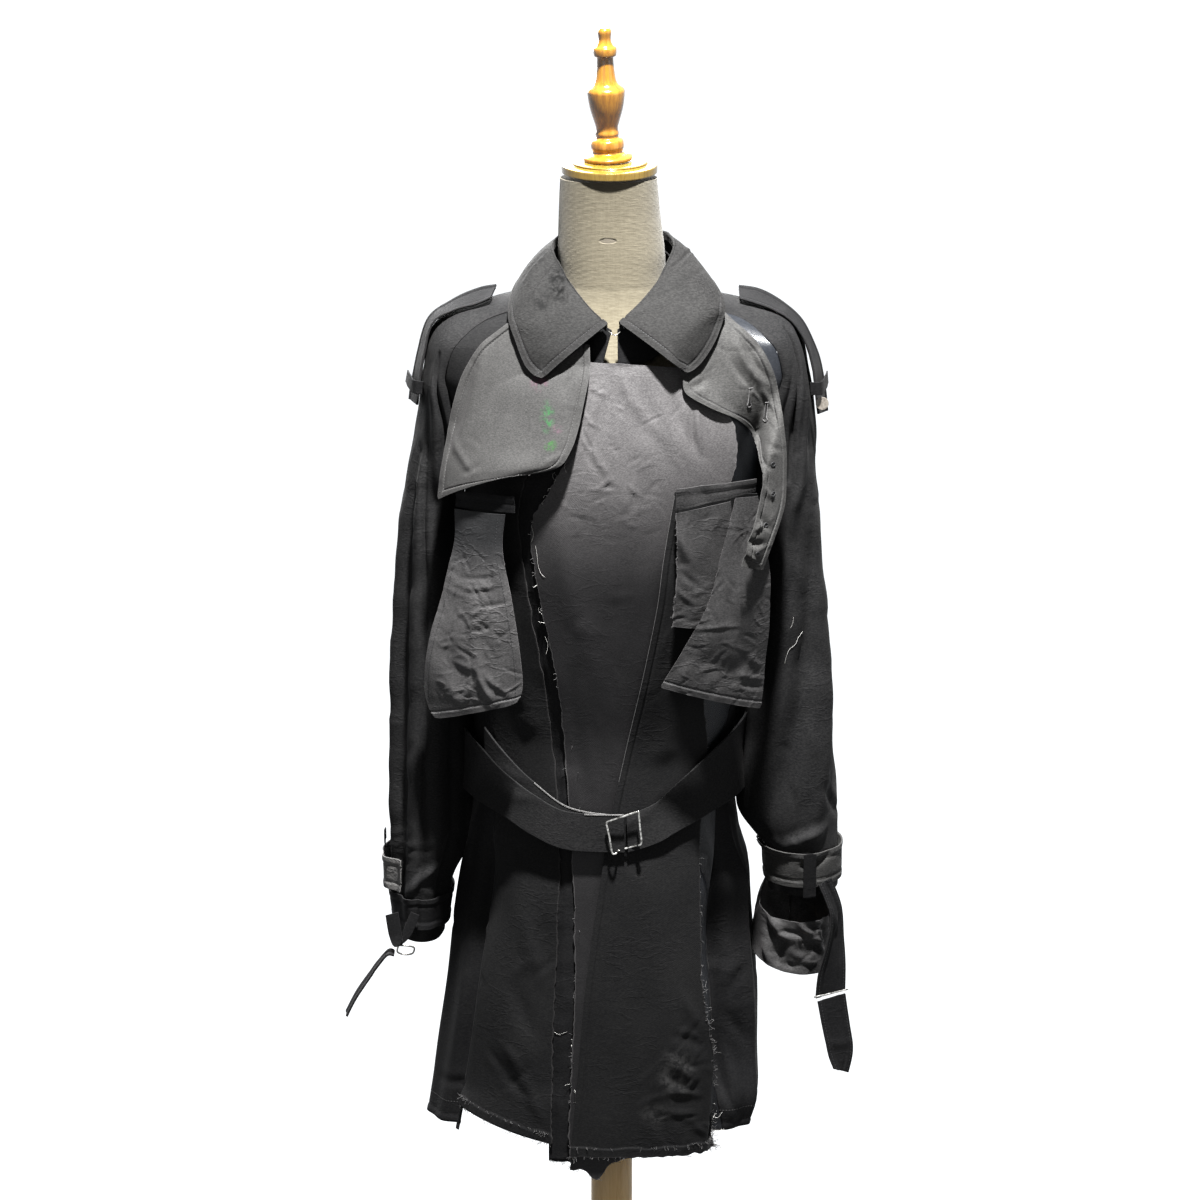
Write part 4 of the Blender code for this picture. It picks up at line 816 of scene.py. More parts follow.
def resample(points, others, pitch):
    # readings at even steps along a line
    gaps = np.linalg.norm(np.diff(points, axis=0), axis=-1)
    run = np.concatenate(((0,), np.cumsum(gaps)))
    at = np.arange(pitch / 2, run[-1], pitch)
    read = lambda values: np.stack([np.interp(at, run, values[:, k]) for k in range(3)], -1)
    return read(points), read(others)


# one stitch as seven points: along, across and height
beadPoints = (
    (-1, 0, 0.1), (-0.6, -1, 0.7), (0.6, -1, 0.7), (1, 0, 0.1), (0.6, 1, 0.7), (-0.6, 1, 0.7), (0, 0, 1.2),
)


def stitches(name, piece, lines, material, pitch=0.0034, long=0.0023, thick=0.00042):
    # small sunk beads of thread along lines inside the edges of a piece
    points = []
    for line in lines:
        edge, inset = line[:2]
        path, normal = resample(*insetLine(piece, edge, inset, *line[2:]), pitch)
        way = unit(np.gradient(path, axis=0))
        side = np.cross(way, normal)
        for a, b, h in beadPoints:
            points.append(path + way * a * long / 2 + side * b * thick * 0.7 + normal * h * thick)
    count = sum(len(p) for p in points) // 7
    stacked = []
    for k in range(0, len(points), 7):
        stacked.append(np.stack(points[k:k + 7], 1).reshape(-1, 3))
    faces = []
    for k in range(count):
        for j in range(6):
            faces.append((k * 7 + j, k * 7 + (j + 1) % 6, k * 7 + 6))
    return placed(name, np.concatenate(stacked), faces, material)


def frayLines(piece, edge, start, end, count, longest, seed, inset=0.0):
    draw = np.random.default_rng(seed)
    path, normal = insetLine(piece, edge, inset, start, end)
    inner, _ = insetLine(piece, edge, inset + 0.004, start, end)
    lines = []
    for _ in range(count):
        k = draw.integers(1, len(path) - 1)
        out = path[k] - inner[k]
        out /= np.linalg.norm(out) + 1e-9
        along = path[min(k + 1, len(path) - 1)] - path[k - 1]
        along /= np.linalg.norm(along) + 1e-9
        way = out * draw.uniform(0.2, 1.0) + along * draw.normal() * 0.9
        way = way + normal[k] * draw.uniform(0.0, 0.5)
        way[2] -= 0.35
        way /= np.linalg.norm(way)
        step = longest * draw.uniform(0.15, 1.0) / 6
        spot = path[k] + normal[k] * 0.0003
        line = [spot - out * 0.001]
        for _ in range(6):
            way = way + draw.normal(size=3) * 0.35 + normal[k] * 0.05
            way /= np.linalg.norm(way)
            spot = spot + way * step
            line.append(spot)
        lines.append(line)
    return lines


def nearOn(piece, x, z, lift=0.0):
    # the point of a piece's outer face at x and z, and its normal
    grid = grids[piece]["outer"]
    away = 0.01 * (grids[piece]["normal"][..., 1] > 0)
    far = (grid[..., 0] - x) ** 2 + (grid[..., 2] - z) ** 2 + away
    order = np.argsort(far.ravel())[:6]
    weight = 1 / (far.ravel()[order] + 1e-8)
    weight = (weight / weight.sum())[:, None]
    spot = (grid.reshape(-1, 3)[order] * weight).sum(0)
    normal = (grids[piece]["normal"].reshape(-1, 3)[order] * weight).sum(0)
    normal /= np.linalg.norm(normal)
    return np.array((x, spot[1], z)) + normal * lift, normal


def onPiece(piece, line, lift):
    return [nearOn(piece, x, z, lift)[0] for x, z in line]


def lathe(name, profile, place, lean, material, sides=64, tiltLeft=0.0):
    rows = []
    profile = [(profile[0][0], 0.0)] + list(profile) + [(profile[-1][0], 0.0)]
    for height, radius in profile:
        turn = math.tau * np.arange(sides) / sides
        rows.append(np.stack((radius * np.cos(turn), radius * np.sin(turn), np.full(sides, height)), -1))
    tilt = Matrix.Rotation(lean, 3, "X") @ Matrix.Rotation(-tiltLeft, 3, "Y")
    points = np.concatenate(rows) @ np.array(tilt).T + np.array(place)
    return placed(name, points, ringFaces(len(rows), sides), material)


def finer(profile, steps=6):
    # rounds a turned profile between its rows
    place = np.linspace(0, 1, (len(profile) - 1) * steps + 1)
    rows = throughRows(profile, place)
    low = min(row[1] for row in profile)
    high = max(row[1] for row in profile)
    rows[:, 1] = np.clip(rows[:, 1], low, high)
    rows[:, 0] = np.clip(np.maximum.accumulate(rows[:, 0]), profile[0][0], profile[-1][0])
    return [tuple(row) for row in rows]


class Shade:
    # one socket of a material's nodes, with maths on it
    def __init__(self, tree, socket):
        self.tree = tree
        self.socket = socket

    def node(self, kind, settings=None, sockets=None, output=0):
        made = self.tree.nodes.new(kind)
        for key, value in (settings or {}).items():
            setattr(made, key, value)
        for key, value in (sockets or {}).items():
            plug(self.tree, value, made.inputs[key])
        return Shade(self.tree, made.outputs[output])

    def mix(self, operation, other, swap=False):
        first, second = (other, self) if swap else (self, other)
        kinds = [v.socket.type for v in (first, second) if isinstance(v, Shade)]
        kinds += ["VECTOR" for v in (first, second) if isinstance(v, tuple) and len(v) == 3]
        kinds += ["RGBA" for v in (first, second) if isinstance(v, tuple) and len(v) == 4]
        if "RGBA" in kinds:
            return self.node("ShaderNodeMix", {"data_type": "RGBA", "blend_type": operation},
                             {0: 1.0, 6: first, 7: second}, 2)
        if "VECTOR" in kinds:
            return self.node("ShaderNodeVectorMath", {"operation": operation}, {0: first, 1: second})
        return self.node("ShaderNodeMath", {"operation": operation}, {0: first, 1: second})

    def __add__(self, other):
        return self.mix("ADD", other)

    def __radd__(self, other):
        return self.mix("ADD", other, True)

    def __sub__(self, other):
        return self.mix("SUBTRACT", other)

    def __rsub__(self, other):
        return self.mix("SUBTRACT", other, True)

    def __mul__(self, other):
        return self.mix("MULTIPLY", other)

    def __rmul__(self, other):
        return self.mix("MULTIPLY", other, True)

    def __truediv__(self, other):
        return self.mix("DIVIDE", other)

    def sine(self):
        return self.node("ShaderNodeMath", {"operation": "SINE"}, {0: self})

    def between(self, low, high):
        # 0 below low, 1 above high, smooth between
        return self.node("ShaderNodeMapRange", {"interpolation_type": "SMOOTHSTEP"},
                         {"Value": self, "From Min": low, "From Max": high, "To Min": 0.0, "To Max": 1.0})

    def blend(self, low, high):
        # this number moves from one colour to the other
        return self.node("ShaderNodeMix", {"data_type": "RGBA"}, {0: self, 6: low, 7: high}, 2)

    def noise(self, scale, depth=3.0, rough=0.55, twist=0.0):
        sockets = {"Vector": self, "Scale": scale, "Detail": depth, "Roughness": rough, "Distortion": twist}
        return self.node("ShaderNodeTexNoise", {"noise_dimensions": "3D"}, sockets)

    def stretch(self, x, y, z):
        return self.mix("MULTIPLY", (x, y, z))

    def axis(self, name):
        return self.node("ShaderNodeSeparateXYZ", {}, {0: self}, "XYZ".index(name))


def plug(tree, value, socket):
    # links a Shade, or sets a number, a vector or a colour
    if isinstance(value, Shade):
        tree.links.new(value.socket, socket)
        return
    if socket.type == "RGBA" and isinstance(value, (int, float)):
        value = (value, value, value)
    if socket.type == "RGBA" and len(value) == 3:
        value = (*value, 1.0)
    socket.default_value = value


def newMaterial(name, constants):
    material = bpy.data.materials.new(name)
    material.use_nodes = True
    tree = material.node_tree
    shader = tree.nodes["Principled BSDF"]
    for key, value in constants.items():
        plug(tree, value, shader.inputs[key])
    start = Shade(tree, shader.outputs[0])
    place = start.node("ShaderNodeTexCoord", {}, {}, 3)
    return material, shader, place


def bump(place, height, strength, distance, normal=None):
    sockets = {"Height": height, "Strength": strength, "Distance": distance}
    if normal is not None:
        sockets["Normal"] = normal
    return place.node("ShaderNodeBump", {}, sockets)


def clothMaterial(name, dark, light, look):
    # dark and light are the two ends of the cloth's own unevenness
    material, shader, place = newMaterial(name, {
        "Specular IOR Level": look["specular"], "Sheen Weight": look["sheen"],
        "Sheen Roughness": look["sheenRough"], "Sheen Tint": look["sheenTint"], "IOR": 1.45})
    tree = place.tree
    weave = place.node("ShaderNodeUVMap", {"uv_map": "weave"})
    across = weave.axis("X")
    along = weave.axis("Y")
    twill = ((across + along * 0.8) * (math.tau / look["pitch"])).sine()
    grain = place.stretch(1.0, 1.0, 2.6).noise(look["grain"], 4.0, 0.7)
    cloud = place.noise(9.0, 4.0, 0.6)
    specks = place.noise(900.0, 1.0, 0.5).between(0.7, 0.78)
    mixed = (grain.between(0.36, 0.66) * 0.7 + cloud.between(0.35, 0.65) * 0.3)
    colour = mixed.blend(dark, light)
    colour = (specks * look["lint"]).blend(colour, (0.3, 0.3, 0.31))
    # painted shade: below the first height the colour is tinted darker, going back to the cloth's own
    # colour by the second; with the first height above the second, the top is darkened instead
    if "paintedShadeByHeight" in look:
        low, high, tint = look["paintedShadeByHeight"]
        colour = place.axis("Z").between(low, high).blend(colour * tint, colour)
    hem = place.node("ShaderNodeAttribute", {"attribute_name": "hem"}, {}, 2)
    bare = place.node("ShaderNodeAttribute", {"attribute_name": "bare"}, {}, 2)
    worn = (1.0 - bare.between(0.0004, 0.0018)) * 0.5 + (1.0 - hem.between(0.0003, 0.0013)) * look["edge"]
    colour = worn.blend(colour, look["edgeColour"])
    # patches of colour: real stains, painted shadow and painted highlight, as each look lists them
    for patchRow in look.get("stainsAndPaintedLight", ()):
        centre, size, tint, strength = patchRow
        offset = (place - centre) / (size[0], 0.09, size[1])
        far = offset.node("ShaderNodeVectorMath", {"operation": "LENGTH"}, {0: offset}, 1)
        blot = (1.0 - far.between(0.35, 1.0)) * place.noise(110.0, 3.0, 0.7).between(0.4, 0.6) * strength
        colour = blot.blend(colour, tint)
    plug(tree, colour, shader.inputs["Base Color"])
    plug(tree, look["rough"] + (cloud - 0.5) * 0.16 + (grain - 0.5) * 0.1, shader.inputs["Roughness"])
    fine = twill * 0.00003 + grain * look["nap"]
    small = place.stretch(0.8, 1.0, 1.9).noise(38.0, 3.0, 0.55, 0.3)
    crease = 1.0 - small.node("ShaderNodeMath", {"operation": "ABSOLUTE"}, {0: small - 0.5}) * 11.0
    patches = place.noise(15.0, 1.0, 0.5).between(0.4, 0.62)
    crease = crease.between(0.3, 1.0) * patches * look["crumple"] + small * look["crumple"] * 1.5
    normal = bump(place, fine + crease, 1.0, 1.0)
    plug(tree, normal, shader.inputs["Normal"])
    return material


def woodMaterial(name, dark, light, rough, coat, ring=240.0):
    material, shader, place = newMaterial(name, {"Coat Weight": coat, "Coat Roughness": 0.12, "IOR": 1.5})
    long = place.stretch(1.0, 1.0, 0.1)
    grain = long.noise(ring, 5.0, 0.62, 0.6)
    pores = place.stretch(1.0, 1.0, 0.05).noise(900.0, 2.0, 0.5)
    cloud = place.noise(14.0, 2.0, 0.5)
    colour = (grain.between(0.3, 0.7) * 0.7 + cloud * 0.3).blend(dark, light)
    colour = (pores.between(0.6, 0.72) * 0.28).blend(colour, dark)
    plug(place.tree, colour, shader.inputs["Base Color"])
    plug(place.tree, rough + (grain - 0.5) * 0.14, shader.inputs["Roughness"])
    plug(place.tree, bump(place, grain * 0.00012 + pores * 0.00004, 1.0, 1.0), shader.inputs["Normal"])
    return material


def linenMaterial():
    # a plain weave, fine enough to count its threads round the neck, with a small hole in it
    neckRadius = 0.057
    warpStep = 0.0014
    weftStep = 0.0013
    material, shader, place = newMaterial("form linen", {"Specular IOR Level": 0.25, "Sheen Weight": 0.25,
                                                         "Sheen Roughness": 0.6})
    across = place.axis("X")
    height = place.axis("Z")
    depth = place.axis("Y")
    turn = (across.node("ShaderNodeMath", {"operation": "ARCTAN2"},
                        {0: across, 1: depth}) * (neckRadius * math.tau / warpStep))
    weft = (height * (math.tau / weftStep)).sine()
    warp = turn.sine()
    slub = place.stretch(1.0, 1.0, 7.0).noise(120.0, 4.0, 0.6)
    cloud = place.noise(10.0, 3.0, 0.55)
    colour = (slub.between(0.3, 0.7) * 0.6 + cloud * 0.4).blend((0.13, 0.112, 0.076), (0.216, 0.192, 0.137))
    spot = (place - (-0.0047, -0.06, 1.4155)) / (0.0105, 0.03, 0.0034)
    far = spot.node("ShaderNodeVectorMath", {"operation": "LENGTH"}, {0: spot}, 1)
    hole = 1.0 - far.between(0.72, 1.0)
    colour = (hole * 0.75).blend(colour, (0.16, 0.14, 0.11))
    plug(place.tree, colour, shader.inputs["Base Color"])
    plug(place.tree, 0.86 + (slub - 0.5) * 0.12, shader.inputs["Roughness"])
    height = weft * 0.00005 + warp * 0.00003 + slub * 0.00025 - hole * 0.0008
    plug(place.tree, bump(place, height, 1.0, 1.0), shader.inputs["Normal"])
    return material


def plainMaterial(name, dark, light, scale, constants, rough, rise):
    # metal, horn and thread: two tones and a little relief
    material, shader, place = newMaterial(name, constants)
    grain = place.noise(scale, 4.0, 0.6)
    plug(place.tree, grain.between(0.3, 0.7).blend(dark, light), shader.inputs["Base Color"])
    plug(place.tree, rough + (grain - 0.5) * 0.2, shader.inputs["Roughness"])
    plug(place.tree, bump(place, grain * rise, 1.0, 1.0), shader.inputs["Normal"])
    return material


wool = {"pitch": 0.0016, "grain": 340.0, "lint": 0.1, "edge": 0.22, "edgeColour": (0.06, 0.058, 0.058),
        "rough": 0.78, "nap": 0.00012, "crumple": 0.00014, "specular": 0.14, "sheen": 0.05,
        "sheenRough": 0.4, "sheenTint": (0.8, 0.78, 0.76)}
darkWool = dict(wool, lint=0.05, edge=0.15, specular=0.1, sheen=0.02, crumple=0.00016)
# painted shadow: near-black blots on the collar leaves, where the neck and the finial cast their shadow
collarWool = dict(wool, crumple=0.0003, stainsAndPaintedLight=(
    ((-0.078, -0.08, 1.4), (0.015, 0.016), (0.004, 0.004, 0.004), 0.95),
    ((-0.058, -0.095, 1.374), (0.014, 0.026), (0.004, 0.004, 0.004), 0.95),
    ((-0.076, -0.1, 1.355), (0.012, 0.014), (0.006, 0.006, 0.006), 0.7),
    ((0.085, -0.085, 1.395), (0.012, 0.02), (0.01, 0.01, 0.01), 0.45)))
reverse = dict(wool, grain=400.0, lint=0.16, rough=0.62, nap=0.0001, crumple=0.00011, specular=0.22,
               sheen=0.08, edgeColour=(0.14, 0.135, 0.135), sheenTint=(0.86, 0.8, 0.82))
# painted shade: the inner front's colour darkens below the chest
panelWool = dict(reverse, grain=420.0, crumple=0.0001, paintedShadeByHeight=(1.04, 1.23, (0.17, 0.17, 0.175)))
leafWool = dict(reverse, crumple=0.00026, rough=0.66)
# painted shadow: the pocket leaf under the storm flap darkens towards its top, as if the flap shaded it
topWool = dict(leafWool, paintedShadeByHeight=(1.112, 1.05, (0.26, 0.27, 0.28)))
flapCloth = dict(reverse, grain=460.0, crumple=0.00007, rough=0.74, stainsAndPaintedLight=(
    ((-0.069, -0.156, 1.24), (0.01, 0.021), (0.03, 0.15, 0.045), 0.62),
    ((-0.066, -0.156, 1.212), (0.009, 0.0085), (0.035, 0.14, 0.03), 0.6),
    ((-0.078, -0.145, 1.274), (0.012, 0.012), (0.19, 0.07, 0.125), 0.42),
    ((-0.06, -0.156, 1.228), (0.01, 0.006), (0.17, 0.07, 0.12), 0.34)))
# painted shade: the satin lining darkens towards the bottom, inside the skirt's recess
satinLook = dict(wool, pitch=0.0006, paintedShadeByHeight=(0.8, 0.98, (0.3, 0.3, 0.32)), grain=260.0, lint=0.02, edge=0.0,
                 rough=0.34, nap=0.00002, crumple=0.00016, specular=0.5, sheen=0.0)

print("materials")
coatCloth = clothMaterial("coat wool", (0.011, 0.011, 0.0118), (0.024, 0.0236, 0.024), darkWool)
sleeveCloth = clothMaterial("coat wool, sleeves", (0.014, 0.014, 0.0146), (0.036, 0.0354, 0.0354), darkWool)
panelCloth = clothMaterial("coat wool, panels", (0.012, 0.012, 0.0126), (0.025, 0.0246, 0.0246),
                           dict(darkWool, edge=0.0))
# painted light: a lighter copy of the coat wool for the cut flap and the left cuff strap, where the key
# light falls
upperCloth = clothMaterial("coat wool, painted light", (0.043, 0.0422, 0.0415), (0.096, 0.0945, 0.0915), wool)
collarCloth = clothMaterial("coat wool, collar", (0.016, 0.0157, 0.0155), (0.042, 0.0411, 0.0402),
                            collarWool)
# painted highlight: two lighter patches near the left front's hem stand in for its sheen
hemCloth = clothMaterial("coat wool, left front", (0.012, 0.012, 0.0126), (0.025, 0.0246, 0.0246),
                         dict(darkWool, edge=0.0, stainsAndPaintedLight=(
                             ((0.07, -0.14, 0.51), (0.026, 0.042), (0.07, 0.069, 0.068), 0.62),
                             ((0.048, -0.14, 0.465), (0.024, 0.018), (0.06, 0.059, 0.058), 0.5))))
shadeCloth = clothMaterial("wool reverse, shaded", (0.024, 0.0235, 0.0235), (0.068, 0.066, 0.066), leafWool)
shadedLeaf = clothMaterial("wool reverse, shaded top", (0.056, 0.0547, 0.0547), (0.135, 0.1309, 0.1309),
                           topWool)
paleCloth = clothMaterial("wool reverse, pale", (0.1, 0.0975, 0.095), (0.23, 0.224, 0.216), leafWool)
lightCloth = clothMaterial("wool reverse", (0.07, 0.0669, 0.0675), (0.15, 0.1436, 0.1436), panelWool)
flapWool = clothMaterial("storm flap wool", (0.04, 0.0392, 0.0383), (0.09, 0.0883, 0.0858), flapCloth)
satin = clothMaterial("satin lining", (0.013, 0.015, 0.019), (0.03, 0.033, 0.04), satinLook)
darkThread = plainMaterial("dark thread", (0.02, 0.02, 0.021), (0.045, 0.045, 0.046), 900.0,
                           {"Specular IOR Level": 0.4}, 0.6, 0.00003)
greyThread = plainMaterial("grey thread", (0.07, 0.068, 0.068), (0.15, 0.146, 0.145), 900.0,
                           {"Specular IOR Level": 0.4}, 0.6, 0.00003)
rawEdge = plainMaterial("raw belt edge", (0.1, 0.098, 0.096), (0.24, 0.235, 0.23), 600.0,
                        {"Specular IOR Level": 0.3}, 0.7, 0.00006)
paleThread = plainMaterial("pale thread", (0.42, 0.41, 0.39), (0.72, 0.71, 0.68), 700.0,
                           {"Specular IOR Level": 0.4}, 0.6, 0.00003)
nickel = plainMaterial("nickel wire", (0.12, 0.116, 0.108), (0.66, 0.65, 0.62), 240.0,
                       {"Metallic": 1.0}, 0.24, 0.00004)
# painted shade: a darker copy of the nickel for the cuff ring, standing in for the dark cloth it reflects
shadedNickel = plainMaterial("nickel wire, painted shade", (0.03, 0.029, 0.028), (0.2, 0.195, 0.185), 240.0,
                           {"Metallic": 1.0}, 0.3, 0.00004)
horn = plainMaterial("horn button", (0.16, 0.14, 0.12), (0.34, 0.31, 0.27), 260.0,
                     {"Coat Weight": 0.2}, 0.4, 0.00003)
linen = linenMaterial()
caramel = woodMaterial("varnished wood", (0.23, 0.092, 0.008), (0.47, 0.23, 0.024), 0.24, 0.6)
golden = woodMaterial("golden wood", (0.185, 0.11, 0.012), (0.285, 0.19, 0.034), 0.28, 0.45)
pine = woodMaterial("pale pine", (0.56, 0.36, 0.13), (0.79, 0.59, 0.29), 0.5, 0.12, 150.0)


def frontCreases(rows, extra=(), calm=0.0, size=0.09, seed=1):
    # creases given by x and height at both ends, width, depth and bow, on a front piece
    table = list(rows) + list(extra)

    def relief(grid):
        total = ridges(table, grid[..., 0], grid[..., 2])
        return total + calm * waves(grid, size, 7, seed)
    return relief


# one dictionary for each piece: its grid, and what a user would change
pieces = {}

print("sleeves and back")
for side, sign in (("right", -1), ("left", 1)):
    rows = shares(250)[:, None]
    around = (2 * shares(140) - 1)[None, :]
    grid = sleevePoint(side, rows, around)
    extra = crumples(31 + sign, 46, (0.21 * sign - 0.03, 0.21 * sign + 0.03, 0.68, 1.2), 0.03, 0.003, 0.001)
    pieces["sleeve_" + side] = {
        "grid": grid, "material": sleeveCloth, "hub": (sign * 0.21, 0.0),
        "relief": frontCreases([], extra, 0.001, 0.06, 5 + sign), "flat": (0.33, 0.8), "area": 0.195,
        "rests": ("form",)}

place = bodyPlace(shares(180))
start = sideEdge("left", 1, place)
end = sideEdge("right", 1, place)
startAngle = frontAngle(start[:, 0], start[:, 2])
endAngle = frontAngle(end[:, 0], end[:, 2])
startAngle = np.where(place <= 1, math.pi - startAngle, startAngle)
endAngle = np.where(place <= 1, -math.pi - endAngle, endAngle) + math.tau
missStart = start - bodyPoint(startAngle, start[:, 2])
missEnd = end - bodyPoint(endAngle, end[:, 2])
share = shares(130)[None, :]
grid = bodyPoint(startAngle[:, None] + (endAngle - startAngle)[:, None] * share,
                 start[:, 2:3] + (end - start)[:, 2:3] * share)
grid += missStart[:, None, :] * (np.clip(1 - 2 * share, 0, 1) ** 2)[..., None]
grid += missEnd[:, None, :] * (np.clip(2 * share - 1, 0, 1) ** 2)[..., None]
backCreases = [
    (0.12, 0.53, 0.142, 0.47, 0.006, 0.0022, 0.002), (0.126, 0.56, 0.15, 0.52, 0.006, -0.0022, -0.002),
    (0.118, 0.495, 0.138, 0.45, 0.004, -0.0018, 0.002), (-0.16, 0.6, -0.172, 0.47, 0.007, 0.0022, 0.002),
]
pieces["back"] = {
    "grid": grid, "material": coatCloth, "finished": ("bottom",),
    "relief": frontCreases(backCreases, crumples(7, 60, (-0.16, 0.16, 0.45, 1.25), 0.045, 0.004, 0.0011),
                           0.0008),
    "flat": (0.75, 1.0), "area": 0.515, "rests": ("form",)}

print("fronts")
rightSeam = lambda height: readAt(rightFrontEdge, height)[..., 0]
liningSeam = lambda height: readAt(liningEdge, height)[..., 0]
rightCreases = [
    (-0.106, 0.61, -0.086, 0.55, 0.01, -0.003, 0.003), (-0.096, 0.69, -0.076, 0.61, 0.01, 0.0024, 0.003),
    (-0.122, 0.545, -0.098, 0.5, 0.006, 0.0022, -0.002),
    (-0.135, 0.53, -0.118, 0.508, 0.004, -0.0016, 0.001),
    (-0.118, 0.505, -0.09, 0.48, 0.005, -0.0018, 0.001), (-0.095, 0.5, -0.075, 0.455, 0.006, 0.0018, 0.002),
]
pieces["front_right"] = {
    "grid": sideGrid("right", rightFrontEdge[0][0], rightSeam, 260, 64, 0.03),
    "material": panelCloth, "bands": (("bottom", 0.011, 0.001, 3),), "raw": ("right",),
    "relief": frontCreases(deeper(rightCreases, 0.75),
                           crumples(9, 26, (-0.15, -0.07, 0.45, 1.1), 0.03, 0.003, 0.0008), 0.0005),
    "flat": (0.158, 0.99), "area": 0.095, "rests": ("form",)}
pieces["lining_left"] = {
    "grid": sideGrid("left", liningEdge[0][0], liningSeam, 180, 40),
    "material": satin, "slot": "satin_lining", "finished": ("bottom",),
    "relief": frontCreases([(0.098, 1.0, 0.088, 0.84, 0.006, 0.0024, 0.002)],
                           crumples(13, 30, (0.07, 0.15, 0.8, 1.28), 0.03, 0.0035, 0.0008), 0.0005),
    "flat": (0.19, 1.01), "area": 0.091, "rests": ("form",)}
height = sideEdge("right", -1, np.linspace(facingTop, 2.0, int(260 * detail)))[:, 2]
begin = frontAngle(rightSeam(height) - 0.004, height)
finish = frontAngle(rightSeam(height) + readAt(rightFacingWidth, height)[..., 0], height)
share = shares(20)[None, :]
grid = bodyPoint(begin[:, None] + (finish - begin)[:, None] * share, height[:, None],
                 -0.0019 + 0.0017 * smooth(share, 0.2, 0.5))
grid[..., 2] -= (0.02 * smooth(hemHeight + 0.06 - height, 0.0, 0.06))[:, None]
pieces["facing_right"] = {
    "grid": grid, "material": coatCloth, "raw": ("bottom",),
    "relief": frontCreases([], (), 0.0003, 0.03, 4), "flat": (0.054, 0.8), "area": 0.0262,
    "rests": ("front_right",)}
centreCreases = [
    # sharp little creases on the chest, then the pull towards the pocket and the slack below
    (-0.029, 1.221, -0.022, 1.204, 0.0018, -0.001, 0.001),
    (-0.003, 1.217, 0.011, 1.192, 0.0018, -0.0011, 0.001),
    (-0.017, 1.162, -0.002, 1.175, 0.0018, 0.001, 0.001),
    (0.017, 1.168, 0.029, 1.155, 0.0018, 0.0009, 0.001), (0.003, 1.212, 0.012, 1.19, 0.002, 0.0009, 0.001),
    (-0.02, 1.205, 0.004, 1.165, 0.003, 0.0009, 0.002), (0.006, 1.285, 0.055, 1.215, 0.006, 0.0012, 0.004),
    (0.06, 1.26, 0.1, 1.19, 0.007, -0.0014, 0.003), (-0.01, 1.27, -0.034, 1.2, 0.006, 0.0011, 0.002),
    (0.038, 1.262, 0.06, 1.18, 0.01, -0.0014, 0.003), (-0.06, 1.13, -0.02, 0.96, 0.014, 0.0018, 0.004),
    (0.01, 1.1, 0.02, 0.9, 0.016, -0.0012, 0.004), (-0.045, 0.96, -0.03, 0.82, 0.009, -0.0013, 0.002),
    (0.09, 1.25, 0.094, 1.2, 0.003, 0.0016, 0.001), (0.084, 1.246, 0.086, 1.205, 0.003, -0.0012, 0.001),
    (-0.004, 1.295, 0.03, 1.3, 0.004, 0.0012, 0.002),
]
grid = frontGrid(innerFront, layers["centre"], 380, 104)
tip = smooth(0.46 - grid[..., 2], 0.0, 0.05) * np.exp(-((grid[..., 0] + 0.017) / 0.011) ** 2)
grid[..., 2] -= 0.017 * tip
pieces["inner_front"] = {
    "grid": grid, "material": lightCloth, "slot": "lighter_cloth",
    "raw": ("left", "right", "bottom"),
    "relief": frontCreases(deeper(centreCreases, 1.4),
                           crumples(17, 60, (-0.05, 0.07, 1.09, 1.27), 0.02, 0.0018, 0.0006)
                           + crumples(18, 30, (-0.05, 0.04, 0.5, 1.05), 0.035, 0.004, 0.0004), 0.00025,
                           0.04),
    "flat": (0.194, 0.945), "area": 0.122, "rests": ("form", "facing_right")}
leftCreases = [
    (0.06, 0.53, 0.092, 0.505, 0.005, 0.0022, 0.002), (0.056, 0.512, 0.09, 0.488, 0.005, -0.002, 0.002),
    (0.062, 0.49, 0.096, 0.482, 0.004, 0.002, -0.002), (0.058, 0.47, 0.094, 0.458, 0.005, 0.002, 0.001),
    (0.044, 0.48, 0.06, 0.44, 0.006, -0.0016, 0.002), (0.07, 0.555, 0.1, 0.535, 0.006, -0.002, -0.002),
    (0.078, 0.6, 0.098, 0.56, 0.006, 0.0018, 0.002), (0.022, 0.62, 0.034, 0.46, 0.012, 0.0014, 0.003),
    (0.055, 0.76, 0.07, 0.6, 0.014, -0.0016, 0.003), (0.074, 1.08, 0.046, 0.9, 0.012, 0.0016, 0.003),
    (0.082, 0.98, 0.07, 0.88, 0.008, -0.0014, 0.002), (0.09, 0.45, 0.104, 0.436, 0.004, 0.0016, 0.001),
]
pieces["front_left"] = {
    "grid": frontGrid(leftFront, layers["front"], 300, 84), "material": hemCloth, "slot": "lighter_cloth",
    "finished": ("left",), "raw": ("right", "bottom"), "bands": (("bottom", 0.011, 0.001, 6),),
    "relief": frontCreases(deeper(leftCreases, 0.8),
                           crumples(23, 24, (0.05, 0.11, 0.43, 0.58), 0.022, 0.0026, 0.0009)
                           + crumples(24, 16, (-0.02, 0.09, 0.6, 1.1), 0.04, 0.004, 0.0004), 0.00025, 0.05),
    "flat": (0.178, 0.76), "area": 0.087, "rests": ("inner_front",)}

